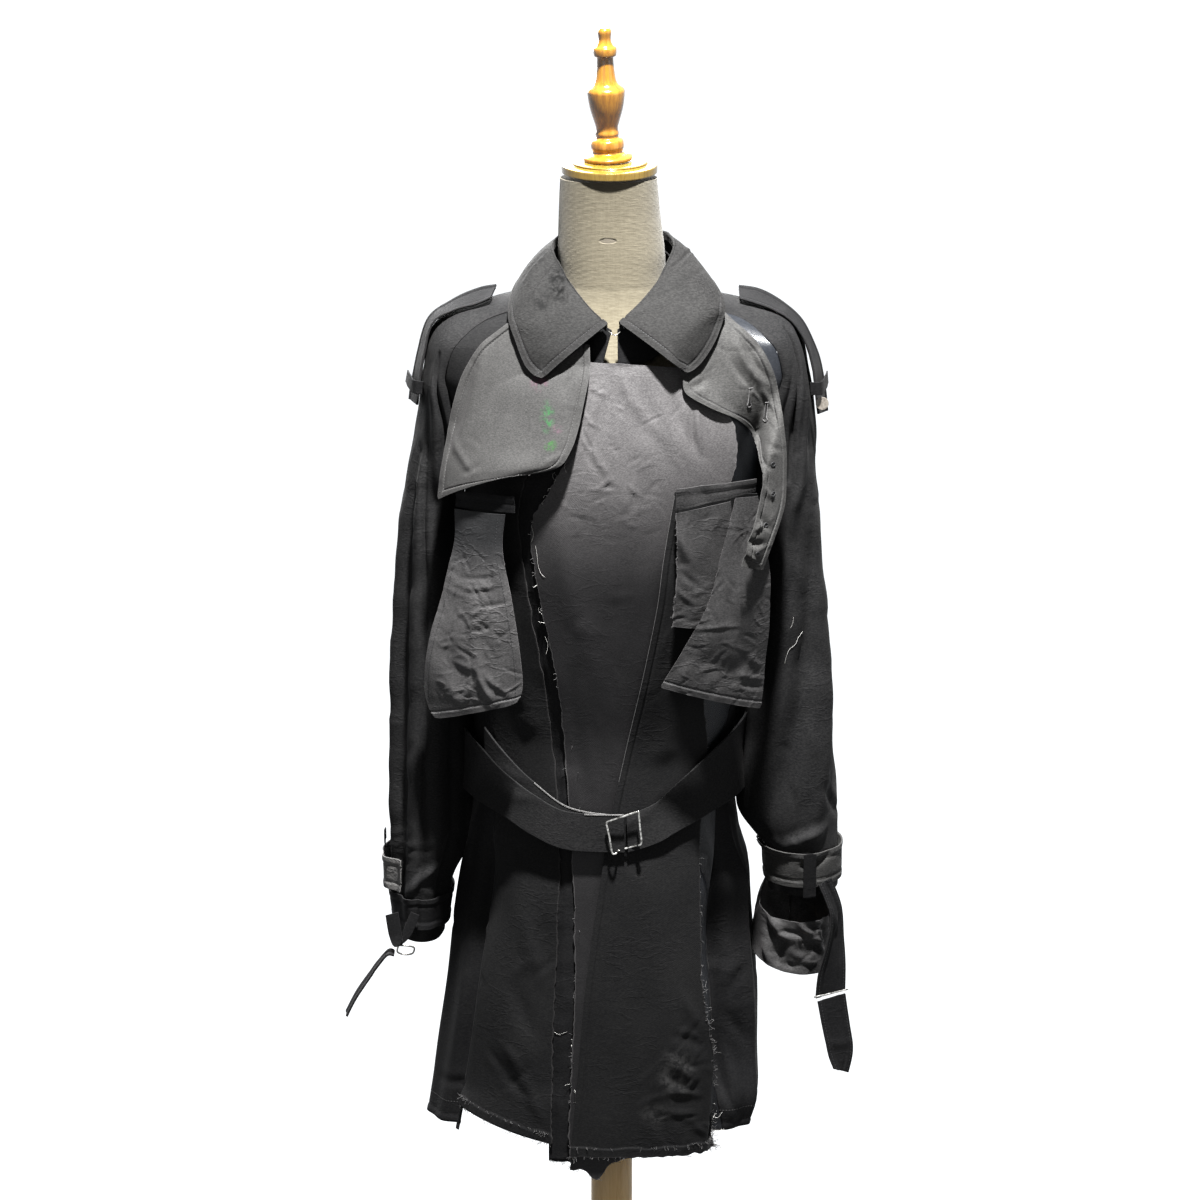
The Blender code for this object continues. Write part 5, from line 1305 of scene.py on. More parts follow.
print("chest")
flapCreases = [
    (-0.134, 1.322, -0.181, 1.168, 0.006, 0.003, -0.006),
    (-0.15, 1.29, -0.176, 1.2, 0.009, -0.0012, -0.004), (-0.09, 1.3, -0.16, 1.19, 0.012, 0.0012, 0.004),
    (-0.172, 1.215, -0.15, 1.18, 0.004, 0.0014, 0.002), (-0.16, 1.176, -0.14, 1.19, 0.003, -0.001, 0.001),
    (-0.052, 1.202, -0.072, 1.192, 0.003, 0.0009, 0.001), (-0.05, 1.3, -0.04, 1.23, 0.01, -0.001, 0.002),
]
flapLines = 130
flapArch = 0.006
flapStandOff = 0.018
grid = stripGrid(stormFlap, flapLines, flapLines, layers["chest"])
down = shares(flapLines)[:, None]
over = shares(flapLines)[None, :]
grid[..., 2] += flapArch * smooth(down, 0.55, 1.0) * (4 * over * (1 - over)) ** 0.8
# its lower edge stands clear of the pocket
grid[..., 1] -= flapStandOff * smooth(down, 0.35, 1.0) * (1 - 0.8 * over ** 3)
pieces["storm_flap"] = {
    "grid": roundCorners(grid, (("bottom", "left", 0.006), ("bottom", "right", 0.014))),
    "material": flapWool, "slot": "lighter_cloth", "finished": ("left", "right", "bottom"),
    "relief": frontCreases(flapCreases, crumples(41, 12, (-0.16, -0.05, 1.19, 1.29), 0.03, 0.003, 0.0004),
                           0.0003),
    "flat": (0.155, 0.21), "area": 0.023, "rests": ("front_right",)}
cutRows = [(*inner, *outer, 0.002) for outer, inner in zip(cutFlapOuter, cutFlapInner)]
cutCreases = [
    (0.14, 1.318, 0.168, 1.27, 0.004, -0.0022, 0.003), (0.132, 1.312, 0.158, 1.268, 0.004, 0.0018, 0.003),
    (0.124, 1.3, 0.15, 1.262, 0.003, -0.0012, 0.002), (0.16, 1.262, 0.178, 1.236, 0.003, 0.0014, 0.002),
    (0.084, 1.268, 0.1, 1.276, 0.004, -0.0016, 0.001), (0.166, 1.206, 0.18, 1.2, 0.003, -0.0014, 0.001),
    (0.16, 1.19, 0.17, 1.182, 0.0026, -0.0014, 0.001), (0.162, 1.164, 0.172, 1.15, 0.0026, 0.0012, 0.001),
    (0.158, 1.136, 0.168, 1.118, 0.003, -0.0018, 0.001), (0.15, 1.122, 0.16, 1.128, 0.0026, 0.0014, 0.001),
    (0.144, 1.112, 0.16, 1.104, 0.004, -0.0022, 0.001), (0.142, 1.1, 0.152, 1.088, 0.003, 0.0016, 0.001),
]
pieces["cut_flap"] = {
    "grid": stripGrid(cutRows, 190, 90, layers["chest"]), "material": upperCloth,
    "finished": ("left", "right", "bottom"),
    "relief": frontCreases(deeper(cutCreases, 1.5),
                           crumples(43, 30, (0.1, 0.18, 1.09, 1.3), 0.014, 0.0018, 0.0006), 0.0005, 0.03),
    "flat": (0.11, 0.305), "area": 0.018, "rests": ("lining_left", "inner_front")}
pieces["pocket_band_right"] = {
    "grid": stripGrid(pocketBandRight, 14, 60, layers["centre"]), "material": coatCloth,
    "slot": "lighter_cloth", "relief": frontCreases([], (), 0.0004, 0.02, 2), "finished": ("top",),
    "flat": (0.074, 0.018), "area": 0.00133, "rests": ("front_right",)}
leafRightCreases = [
    (-0.163, 1.063, -0.126, 1.068, 0.0022, -0.0011, 0.001),
    (-0.16, 1.052, -0.121, 1.06, 0.0022, 0.0011, 0.001),
    (-0.147, 1.034, -0.112, 1.041, 0.0022, -0.0012, 0.001),
    (-0.15, 1.024, -0.141, 1.034, 0.0022, 0.0009, 0.001),
    (-0.15, 1.007, -0.129, 1.014, 0.0022, -0.0011, 0.001),
    (-0.18, 0.995, -0.16, 0.95, 0.012, -0.003, 0.003), (-0.15, 1.04, -0.136, 0.94, 0.007, 0.0022, 0.004),
    (-0.144, 0.962, -0.127, 0.928, 0.0035, 0.0024, 0.002),
    (-0.136, 0.96, -0.112, 0.94, 0.0035, 0.002, 0.002), (-0.146, 0.95, -0.16, 0.93, 0.005, 0.0016, 0.002),
    (-0.122, 0.948, -0.118, 0.936, 0.005, -0.0022, 0.001), (-0.19, 1.0, -0.196, 0.93, 0.005, 0.002, 0.002),
    (-0.172, 0.972, -0.146, 0.966, 0.004, 0.0014, 0.002),
    (-0.178, 0.948, -0.158, 0.922, 0.006, 0.0014, 0.002),
]
pieces["pocket_leaf_right"] = {
    "grid": roundCorners(stripGrid(pocketLeafRight, 210, 118, layers["centre"] + 0.002),
                         (("bottom", "left", 0.014), ("bottom", "right", 0.016))), "material": shadedLeaf,
    "slot": "lighter_cloth", "finished": ("bottom",),
    "relief": frontCreases(deeper(leafRightCreases, 0.75),
                           crumples(47, 90, (-0.19, -0.11, 0.93, 1.09), 0.018, 0.0015, 0.0005), 0.0006,
                           0.035),
    "flat": (0.121, 0.24), "area": 0.0203, "rests": ("front_right",)}
pieces["pocket_band_left"] = {
    "grid": stripGrid(pocketBandLeft, 16, 80, layers["pocket"]), "material": shadeCloth,
    "slot": "lighter_cloth", "finished": ("top",),
    "relief": frontCreases([(0.092, 1.178, 0.102, 1.14, 0.007, -0.0022, 0.001),
                            (0.12, 1.178, 0.122, 1.14, 0.006, 0.0018, 0.001)], (), 0.0006, 0.04, 8),
    "flat": (0.092, 0.024), "area": 0.0017, "rests": ("inner_front", "front_left")}
pieces["pocket_back_left"] = {
    "grid": stripGrid(pocketBackLeft, 90, 40, layers["pocket"]), "material": shadeCloth,
    "slot": "lighter_cloth", "raw": ("left",),
    "relief": frontCreases([(0.07, 1.12, 0.084, 1.085, 0.005, 0.0018, 0.002),
                            (0.074, 1.075, 0.09, 1.06, 0.003, -0.0014, 0.001),
                            (0.07, 1.055, 0.088, 1.04, 0.003, 0.0014, 0.001)],
                           crumples(51, 24, (0.065, 0.12, 1.01, 1.14), 0.014, 0.002, 0.0007), 0.0006, 0.03),
    "flat": (0.062, 0.141), "area": 0.0077, "rests": ("front_left",)}
leafLeftCreases = [
    (0.088, 1.014, 0.134, 1.016, 0.0024, 0.0013, -0.001), (0.09, 0.985, 0.14, 0.96, 0.014, -0.003, 0.004),
    (0.135, 1.06, 0.138, 1.01, 0.006, 0.002, 0.002), (0.128, 1.06, 0.126, 1.02, 0.005, -0.0016, 0.002),
    (0.08, 0.974, 0.07, 0.95, 0.006, 0.0018, 0.002), (0.134, 0.962, 0.162, 0.952, 0.003, 0.0018, 0.001),
    (0.132, 0.952, 0.16, 0.943, 0.0028, -0.0016, 0.001), (0.146, 0.984, 0.16, 0.966, 0.004, 0.0018, 0.002),
    (0.148, 0.97, 0.132, 0.94, 0.005, 0.0016, 0.002), (0.11, 0.972, 0.094, 0.966, 0.004, 0.0014, 0.001),
    (0.14, 1.15, 0.142, 1.08, 0.006, -0.0014, 0.001), (0.118, 0.956, 0.104, 0.938, 0.005, -0.0016, 0.001),
]
pieces["pocket_leaf_left"] = {
    "grid": roundCorners(stripGrid(pocketLeafLeft, 210, 118, layers["leaf"]),
                         (("bottom", "left", 0.004), ("bottom", "right", 0.006))), "material": shadeCloth,
    "slot": "lighter_cloth", "finished": ("bottom",),
    "relief": frontCreases(deeper(leafLeftCreases, 0.8),
                           crumples(53, 90, (0.07, 0.165, 0.93, 1.14), 0.018, 0.0015, 0.0005), 0.0006,
                           0.035),
    "flat": (0.123, 0.238), "area": 0.0171, "rests": ("pocket_back_left",)}

print("collar, straps and cuffs")
fall = throughRows(collarFall, shares(320))[:, None, :]
share = np.concatenate((np.linspace(-0.3, -0.02, max(int(12 * detail), 6)), shares(76)))[None, :]
inside = np.clip(share, 0, 1)[..., None]
grid = fall[..., 0:3] * (1 - inside) + fall[..., 3:6] * inside
arc = fall[..., 6] * 4 * inside[..., 0] * (1 - inside[..., 0])
flat = grid[..., :2] - np.array((0, 0.01))
flat = flat / np.linalg.norm(flat, axis=-1, keepdims=True)
collarSwell = 0.78
grid[..., :2] += flat * arc[..., None] * collarSwell
grid[..., 2] += 0.8 * collarSwell * arc
# the leaf rolls over at the neck and goes down inside it
lip = np.clip(-share, 0, 1) / 0.3
turn = math.pi * np.clip(lip * 2.2, 0, 1)
rollRadius = 0.0017
lipDrop = 0.0075
grid[..., :2] -= flat * (rollRadius * (1 - np.cos(turn)))[..., None]
grid[..., 2] += rollRadius * np.sin(turn) - lipDrop * smooth(lip, 0.35, 1.0)
collarCreases = [
    (0.075, 0.01, 0.06, 0.048, 0.005, -0.0014, 0.002), (0.092, 0.02, 0.084, 0.06, 0.005, 0.0016, 0.003),
    (0.11, 0.012, 0.095, 0.052, 0.006, -0.0018, 0.003), (0.128, 0.02, 0.12, 0.055, 0.004, 0.0012, 0.002),
    (0.05, 0.03, 0.07, 0.02, 0.003, 0.001, 0.001), (0.44, 0.014, 0.448, 0.042, 0.006, -0.0012, 0.004),
    (0.425, 0.03, 0.456, 0.04, 0.005, 0.0009, 0.002), (0.48, 0.016, 0.53, 0.05, 0.005, -0.0011, 0.006),
    (0.27, 0.01, 0.275, 0.06, 0.007, -0.0014, 0.002), (0.23, 0.01, 0.222, 0.06, 0.006, 0.0014, 0.002),
    (0.33, 0.012, 0.338, 0.06, 0.007, 0.0014, 0.002),
]


def stripCreases(rows, calm=0.0, size=0.05, seed=1):
    # creases given along and across a strip, in metres from its first corner
    def relief(grid):
        along = arcTo(grid, "top")
        across = arcTo(grid, "left")
        return ridges(rows, along, across) + calm * waves(grid, size, 7, seed)
    return relief


pieces["collar_fall"] = {
    "grid": roundCorners(grid, (("top", "right", 0.011), ("bottom", "right", 0.009))), "thickness": 0.002,
    "material": collarCloth,
    "finished": ("top", "bottom", "right"),
    "relief": stripCreases(deeper(collarCreases, 1.8), 0.0005, 0.05, 61),
    "flat": (0.114, 0.7), "area": 0.057, "held": "folded",
    "rests": ("collar_stand", "storm_flap", "cut_flap")}
pieces["collar_stand"] = {
    "grid": stripGrid(collarStand, 160, 24), "material": coatCloth,
    "relief": stripCreases([], 0.0002), "flat": (0.051, 0.52), "area": 0.0215, "held": "stretched",
    "rests": ("form",)}

strapRows = {
    # edges, rows, columns, thickness, creases, flat width and length, area
    "epaulette_right": (epaulettes["right"], 90, 28, strap,
                        [(0.06, 0.004, 0.066, 0.046, 0.006, 0.0014, 0.001),
                        (0.1, 0.004, 0.096, 0.046, 0.006, -0.0012, 0.001)], (0.069, 0.178), 0.0101),
    "epaulette_left": (epaulettes["left"], 90, 28, strap,
                       [(0.05, 0.004, 0.056, 0.046, 0.006, 0.0014, 0.001),
                       (0.11, 0.004, 0.104, 0.046, 0.006, -0.0012, 0.001)], (0.07, 0.187), 0.0108),
    "cuff_strands_right": (cuffStrandsRight, 90, 14, strap, [], (0.015, 0.085), 0.00082),
    "cuff_tab_right": (cuffTabRight, 70, 14, strap, [(0.03, 0.0, 0.034, 0.018, 0.005, 0.0008, 0.0)],
                       (0.019, 0.094), 0.0016),
    "cuff_drop_left": (cuffDropLeft, 110, 30, strap, [(0.03, 0.004, 0.06, 0.016, 0.004, 0.0016, 0.001),
                       (0.045, 0.02, 0.075, 0.012, 0.004, -0.0012, 0.001)], (0.036, 0.128), 0.0037),
    "cuff_tab_left": (cuffTabLeft, 90, 30, strap, [(0.05, 0.002, 0.056, 0.03, 0.005, 0.0008, 0.001)],
                      (0.035, 0.091), 0.0026),
    "cuff_loop_left": (cuffLoopLeft, 24, 44, cloth, [], (0.051, 0.0145), 0.00073),
    "cuff_loop_right": (cuffLoopRight, 24, 20, cloth, [], (0.012, 0.028), 0.00033),
    "epaulette_loop_right": (epauletteLoops["right"], 70, 14, cloth, [], (0.014, 0.091), 0.00126),
    "epaulette_loop_left": (epauletteLoops["left"], 70, 14, cloth, [], (0.014, 0.093), 0.00128),
}
for name, (table, rows, columns, thick, creases, flat, area) in strapRows.items():
    sign = 1 if name.endswith("left") else -1
    hub = ((0.1 if "loop" in name else 0.12) * sign, 0.0) if name.startswith("epaulette") else None
    pieces[name] = {
        "grid": stripGrid(table, rows, columns), "thickness": thick, "material": coatCloth,
        "hub": hub, "relief": stripCreases(creases, 0.0002, 0.03, 71),
        "finished": ("left", "right") if "loop" not in name and "strands" not in name else (),
        "flat": flat, "area": area,
        "rests": ("sleeve_left",) if name.endswith("left") else ("sleeve_right",)}

for name, table, rows, layer, flat, area, rests in (
        ("belt", beltRows, 380, "belt", (0.07, 0.935), 0.056, ("front_left", "back")),
        ("belt_tail", beltTailRows, 120, "beltTail", (0.066, 0.178), 0.0079,
         ("front_left", "front_right"))):
    ends = throughRows(table, shares(rows))
    share = shares(24)[None, :]
    turn = np.radians(ends[:, 0:1])
    height = ends[:, 1:2] + (ends[:, 2:3] - ends[:, 1:2]) * share
    # the belt keeps its own line over the folds below it
    over = layers[layer] - np.minimum(bodyRelief(turn, height), 0.0) * 0.8
    beltCreases = [(0.1, 0.004, 0.16, 0.036, 0.006, 0.001, 0.003),
                   (0.24, 0.01, 0.34, 0.034, 0.008, -0.0009, 0.002),
                   (0.9, 0.006, 0.98, 0.034, 0.007, 0.0012, 0.003),
                   (0.6, 0.004, 0.66, 0.04, 0.008, 0.001, 0.002)]
    pieces[name] = {
        "grid": bodyPoint(turn, height, over), "thickness": strap, "material": sleeveCloth,
        "relief": stripCreases(beltCreases, 0.0005, 0.06, 81), "flat": flat,
        "area": area, "held": "laid", "rests": rests}

bandRows = {
    "cuff_strap_right": ("right", 0.93, 0.972, -0.98, 0.98, 0.004, coatCloth, "coat_cloth", (0.037, 0.315),
                         0.0107),
    "cuff_strap_left": ("left", 0.908, 0.972, -0.98, 0.98, 0.004, upperCloth, "coat_cloth", (0.042, 0.34),
                        0.0133),
    "turned_cuff_right": ("right", 0.882, 0.924, -0.3, 0.4, 0.009, paleCloth, "lighter_cloth",
                          (0.037, 0.137), 0.0049),
}
for name, (side, low, high, begin, finish, lift, material, slot, flat, area) in bandRows.items():
    rows = (low + (high - low) * shares(26))[:, None]
    around = (begin + (finish - begin) * shares(130))[None, :]
    pieces[name] = {
        "grid": sleevePoint(side, rows, around, lift), "material": material, "slot": slot,
        "hub": (-0.21 if side == "right" else 0.21, 0.0), "finished": ("top", "bottom"),
        "relief": frontCreases([], (), 0.0005, 0.03, 91), "flat": flat, "area": area, "held": "laid",
        "rests": ("sleeve_" + side,)}

share = np.linspace(0, 1, int(220 * detail))
ends = throughRows(cuffEndLeft, share)
turn = np.radians(180 + (ends[:, 0:1] - 181) * 360 / 358)
down = shares(54)[None, :]
grid = np.stack((0.205 + ends[:, 3:4] * np.sin(turn) + 0 * down,
                 -0.012 - ends[:, 4:5] * np.cos(turn) + 0 * down,
                 ends[:, 1:2] + (ends[:, 2:3] - ends[:, 1:2]) * down), -1)
grid[..., 0] += down * (0.008 * np.sin(turn) - 0.006)
# at the back its top goes up to the sleeve's end
sleeveEnd = pieces["sleeve_left"]["grid"][-1]
backEnd = sleeveEnd[sleeveEnd[:, 1] > 0.01][:, 2].mean()
grid[..., 2] += smooth(grid[..., 1], -0.005, 0.025) * (1 - down) * (backEnd + 0.003 - grid[..., 2])
cuffCreases = [
    (0.175, 0.668, 0.196, 0.64, 0.005, 0.005, 0.003), (0.178, 0.65, 0.23, 0.642, 0.003, -0.0022, -0.002),
    (0.205, 0.662, 0.236, 0.634, 0.004, 0.0036, 0.003), (0.214, 0.656, 0.24, 0.65, 0.003, -0.0024, 0.001),
    (0.236, 0.664, 0.24, 0.616, 0.003, -0.003, 0.002), (0.182, 0.634, 0.186, 0.61, 0.005, -0.003, 0.002),
    (0.17, 0.64, 0.176, 0.612, 0.005, 0.0028, 0.002), (0.196, 0.63, 0.222, 0.616, 0.005, 0.002, 0.002),
    (0.206, 0.648, 0.216, 0.63, 0.006, 0.0022, 0.002), (0.19, 0.618, 0.2, 0.608, 0.004, -0.0016, 0.001),
]
pieces["cuff_end_left"] = {
    "grid": grid, "material": shadeCloth, "slot": "lighter_cloth", "hub": (0.205, -0.012),
    "relief": frontCreases(deeper(cuffCreases, 1.3),
                           crumples(57, 40, (0.16, 0.25, 0.61, 0.67), 0.012, 0.002, 0.0009), 0.0009, 0.03),
    "flat": (0.068, 0.324), "area": 0.02, "rests": ("sleeve_left",)}


def settle(name, under, gap, weight):
    # moves a piece back towards the outermost layer below it until the gap is left
    below = np.concatenate([pieces[other]["grid"].reshape(-1, 3) for other in under])
    tree = KDTree(len(below))
    for index, point in enumerate(below):
        tree.insert((point[0], 0.0, point[2]), index)
    tree.balance()
    grid = pieces[name]["grid"]
    shift = np.zeros(grid.shape[:2])
    for spot in np.argwhere(weight > 0):
        point = grid[tuple(spot)]
        found = tree.find_range((point[0], 0.0, point[2]), 0.004)
        if found:
            room = min(below[index][1] for _, index, _ in found) - point[1] - gap
            shift[tuple(spot)] = max(room, 0.0)
    # even out the shift, so that no step is left where a lower layer ends
    for _ in range(int(40 * detail)):
        padded = np.pad(shift, 1, mode="edge")
        shift = (padded[:-2, 1:-1] + padded[2:, 1:-1] + padded[1:-1, :-2] + padded[1:-1, 2:] + shift) / 5
    grid[..., 1] += shift * weight


grid = pieces["cut_flap"]["grid"]
settle("cut_flap", ("inner_front", "lining_left"), 0.0046, smooth(grid[..., 2], 1.17, 1.22))
grid = pieces["collar_fall"]["grid"]
settle("collar_fall", ("storm_flap", "cut_flap", "inner_front"), 0.005,
       smooth(np.linspace(-0.3, 1.0, grid.shape[1])[None, :], 0.35, 0.9)
       * smooth(-grid[..., 1], 0.08, 0.115))

print("building cloth")
built = {name: clothPiece(name, piece) for name, piece in pieces.items()}

print("stitches and threads")
stitchRows = {
    "storm_flap": ([("bottom", hemWidth, 0.03, 0.98), ("left", hemWidth, 0.04, 0.96),
                    ("right", hemWidth, 0.04, 0.96)],
                   greyThread),
    "cut_flap": ([("left", hemWidth, 0.02, 0.97), ("right", hemWidth, 0.02, 0.97),
                  ("bottom", hemWidth, 0.1, 0.9)], darkThread),
    "pocket_leaf_right": ([("bottom", 0.0075, 0.04, 0.96), ("left", 0.0075, 0.35, 0.96),
                           ("right", 0.0075, 0.1, 0.96)],
                          darkThread),
    "pocket_leaf_left": ([("bottom", hemWidth, 0.04, 0.96)], darkThread),
    "pocket_band_left": ([("bottom", 0.004, 0.02, 0.98)], darkThread),
    "collar_fall": ([("right", 0.0082, 0.015, 0.985), ("top", 0.0082, 0.22, 0.98),
                     ("bottom", 0.0082, 0.22, 0.98)],
                    darkThread),
    "back": ([("bottom", 0.024)], greyThread),
    "epaulette_right": ([("left", 0.0035), ("right", 0.0035)], darkThread),
    "epaulette_left": ([("left", 0.0035), ("right", 0.0035)], darkThread),
    "cuff_strap_left": ([("top", 0.003)], darkThread),
    "cuff_drop_left": ([("left", 0.003), ("right", 0.003)], darkThread),
    "cuff_tab_left": ([("left", 0.003), ("right", 0.003)], darkThread),
}
sewn = {name: [stitches(name + "_stitches", name, lines, thread)] for name,
        (lines, thread) in stitchRows.items()}

frayRadius = 0.00022
hemThreadRadius = 0.0002
paleEdgeRadius = 0.0004
rawEdgeRadius = 0.00055
looseRadius = 0.00018

# raw edges with loose threads: edge, start, end, how many, longest, seed, thread
frayRows = {
    "inner_front": [("left", 0.3, 0.5, 16, 0.012, 101, paleThread),
                    ("left", 0.3, 0.98, 40, 0.005, 102, greyThread),
                    ("right", 0.08, 0.16, 24, 0.006, 103, darkThread),
                    ("bottom", 0.0, 1.0, 24, 0.006, 104, greyThread)],
    "front_left": [("right", 0.66, 1.0, 110, 0.01, 105, greyThread),
                   ("bottom", 0.02, 0.98, 30, 0.007, 106, greyThread),
                   ("right", 0.3, 0.7, 50, 0.005, 107, greyThread),
                   ("right", 0.84, 1.0, 12, 0.018, 108, paleThread)],
    "front_right": [("bottom", 0.0, 1.0, 34, 0.007, 109, greyThread)],
    "facing_right": [("right", 0.55, 1.0, 60, 0.008, 110, greyThread),
                     ("right", 0.88, 1.0, 14, 0.014, 111, paleThread),
                     ("bottom", 0.1, 0.9, 16, 0.007, 112, greyThread)],
    "pocket_back_left": [("left", 0.2, 1.0, 20, 0.004, 113, greyThread)],
}
for name, rows in frayRows.items():
    for k, (edge, begin, finish, count, longest, seed, thread) in enumerate(rows):
        lines = frayLines(name, edge, begin, finish, max(int(count * detail), 4), longest, seed)
        sewn.setdefault(name, []).append(tubes(f"{name}_threads_{k}", lines, frayRadius, thread, 4))
# threads along the ragged tops of the turned hems
for name, seed in (("front_left", 121), ("front_right", 122)):
    lines = frayLines(name, "bottom", 0.03, 0.97, int(50 * detail), 0.007, seed, 0.011)
    sewn[name].append(tubes(name + "_hem_threads", lines, hemThreadRadius, greyThread, 4))

# the pale edge of the left front, from the chest to the belt
lines = [insetLine("front_left", "left", 0.0002, 0.03, 0.5)[0][::4]]
sewn["front_left"].append(tubes("front_left_pale_edge", lines, paleEdgeRadius, greyThread, 5))
for name, last in (("belt", 0.115), ("belt_tail", 0.5)):
    lines = [insetLine(name, "left", inset, 0.0, last)[0][::3] for inset in (0.0004, 0.0012)]
    sewn.setdefault(name, []).append(tubes(name + "_raw_edge", lines, rawEdgeRadius, rawEdge, 6))

# holes in the cut flap: two keyholes and four small eyelets, each rimmed with thread
keyholes = ((0.147, 1.253), (0.165, 1.236))
eyelets = ((0.171, 1.186), (0.171, 1.155), (0.163, 1.124), (0.154, 1.096))
flapTrim = []
for x, z in keyholes:
    turn = np.radians(np.linspace(-58, 238, 22))
    head = [(x - 0.0012 + 0.0022 * math.cos(a), z - 0.008 - 0.0022 * math.sin(a)) for a in turn]
    path = [(x + 0.0016, z + 0.0095)] + head + [(x - 0.001, z + 0.0095)]
    flapTrim.append(path)
    flapTrim.append([(x - 0.002, z + 0.01), (x + 0.0026, z + 0.0104)])
slits = [[(x + 0.0003, z + 0.0088), (x - 0.0008, z - 0.0062)] for x, z in keyholes]
sewn["cut_flap"].append(tubes("cut_flap_buttonholes", [onPiece("cut_flap", p, 0.0004) for p in flapTrim],
                              0.00055, greyThread, 6))
for x, z in eyelets:
    turn = math.tau * np.arange(20) / 20
    slits.append([(x + 0.0007 * math.cos(a), z + 0.0007 * math.sin(a)) for a in np.append(turn, 0.0)])
    ring = onPiece("cut_flap", [(x + 0.0021 * math.cos(a), z + 0.0021 * math.sin(a)) for a in turn], 0.0003)
    key = f"cut_flap_eyelet_{len(sewn['cut_flap'])}"
    sewn["cut_flap"].append(tubes(key, [ring], 0.0006, darkThread, 6, True))
shadow = plainMaterial("slit shadow", (0.002, 0.002, 0.002), (0.005, 0.005, 0.005), 400.0, {}, 0.9, 0.0)
sewn["cut_flap"].append(tubes("cut_flap_slits", [onPiece("cut_flap", p, 0.0001) for p in slits], 0.0006,
                              shadow, 6))

# loose white threads on the left sleeve and the skirt, where they caught
looseRows = {
    "sleeve_left": [[(0.207, 0.988), (0.202, 0.982), (0.199, 0.975), (0.193, 0.97), (0.19, 0.963),
                     (0.188, 0.954)],
                    [(0.197, 1.006), (0.196, 0.999), (0.194, 0.994)]],
    "facing_right": [[(-0.064, 0.556), (-0.058, 0.554), (-0.054, 0.5555), (-0.049, 0.558)]],
    "inner_front": [[(-0.082, 1.1), (-0.08, 1.088), (-0.079, 1.078), (-0.076, 1.07), (-0.072, 1.066)],
                    [(-0.086, 1.122), (-0.084, 1.112), (-0.086, 1.104)],
                    [(-0.072, 1.0), (-0.069, 0.99), (-0.071, 0.98)]],
}
for name, lines in looseRows.items():
    curls = []
    for line in lines:
        fine = throughRows(line, np.linspace(0, 1, 30))
        curls.append(onPiece(name, [tuple(p) for p in fine], 0.0006))
    sewn.setdefault(name, []).append(tubes(name + "_loose_threads", curls, looseRadius, paleThread, 5))

for name, piece in pieces.items():
    tuple(built[n] if n in built else n for n in piece["rests"])

print("form, stand and trim")
neckSeam = 1.362
seamWidth = 0.0012
ringCount = int(150 * detail)
rings = throughRows(formRings, np.linspace(0, 1, ringCount))
sides = int(128 * detail)
turn = math.tau * np.arange(sides) / sides
across = signedPower(np.sin(turn), 0.92)
along = signedPower(np.cos(turn), 0.92)
x = rings[:, 4:5] + rings[:, 1:2] * across
y = rings[:, 5:6] - np.where(along > 0, rings[:, 2:3], rings[:, 3:4]) * along
points = np.stack((x, y, rings[:, 0:1] + 0 * x), -1)
# the covers' seams: one round the neck's foot and one down the centre front and back
seamDip = 0.0008 * np.exp(-((rings[:, 0:1] - neckSeam) / seamWidth) ** 2)
centreDip = 0.0007 * np.exp(-(x / seamWidth) ** 2) * (rings[:, 0:1] < neckSeam)
shrink = 1 - (seamDip + centreDip) / 0.06
points[..., 0] *= shrink
points[..., 1] *= shrink
formFaces = [(a, d, c, b) for a, b, c, d in ringFaces(ringCount, sides)]
points = points.reshape(-1, 3)
caps = []
for ring, flip in ((0, False), (ringCount - 1, True)):
    middle = len(points)
    points = np.concatenate((points, [(rings[ring, 4], rings[ring, 5], rings[ring, 0])]))
    for j in range(sides):
        a, b = ring * sides + j, ring * sides + (j + 1) % sides
        caps.append((b, a, middle) if flip else (a, b, middle))
form = placed("form_cover", points, formFaces, linen)
for item in (form, placed("form_ends", points, caps, linen)):
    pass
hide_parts("form")

capPlace = (-0.003, -0.013, 1.4835)
finialPlace = (-0.0045, -0.013, 1.4845)
lean = math.radians(5.0)
trim = {
    "neck_plate": lathe("neck_plate_turned", finer(capProfile), capPlace, lean, golden, 96),
    "finial": lathe("finial_turned", finer(finialProfile), finialPlace, lean, caramel, 64,
                    math.radians(1.5)),
    "pole": lathe("pole_turned", finer(poleProfile), (0, 0, baseThickness + seamGap), 0.0, pine, 64),
    "base": lathe("base_turned", finer(baseProfile, 4), (0, 0, 0), 0.0, pine, 128),
    "button_left": lathe("button_left_turned", finer(buttonProfile, 3), (0.2265, -0.048, 1.238),
                         math.radians(90), horn, 40),
}
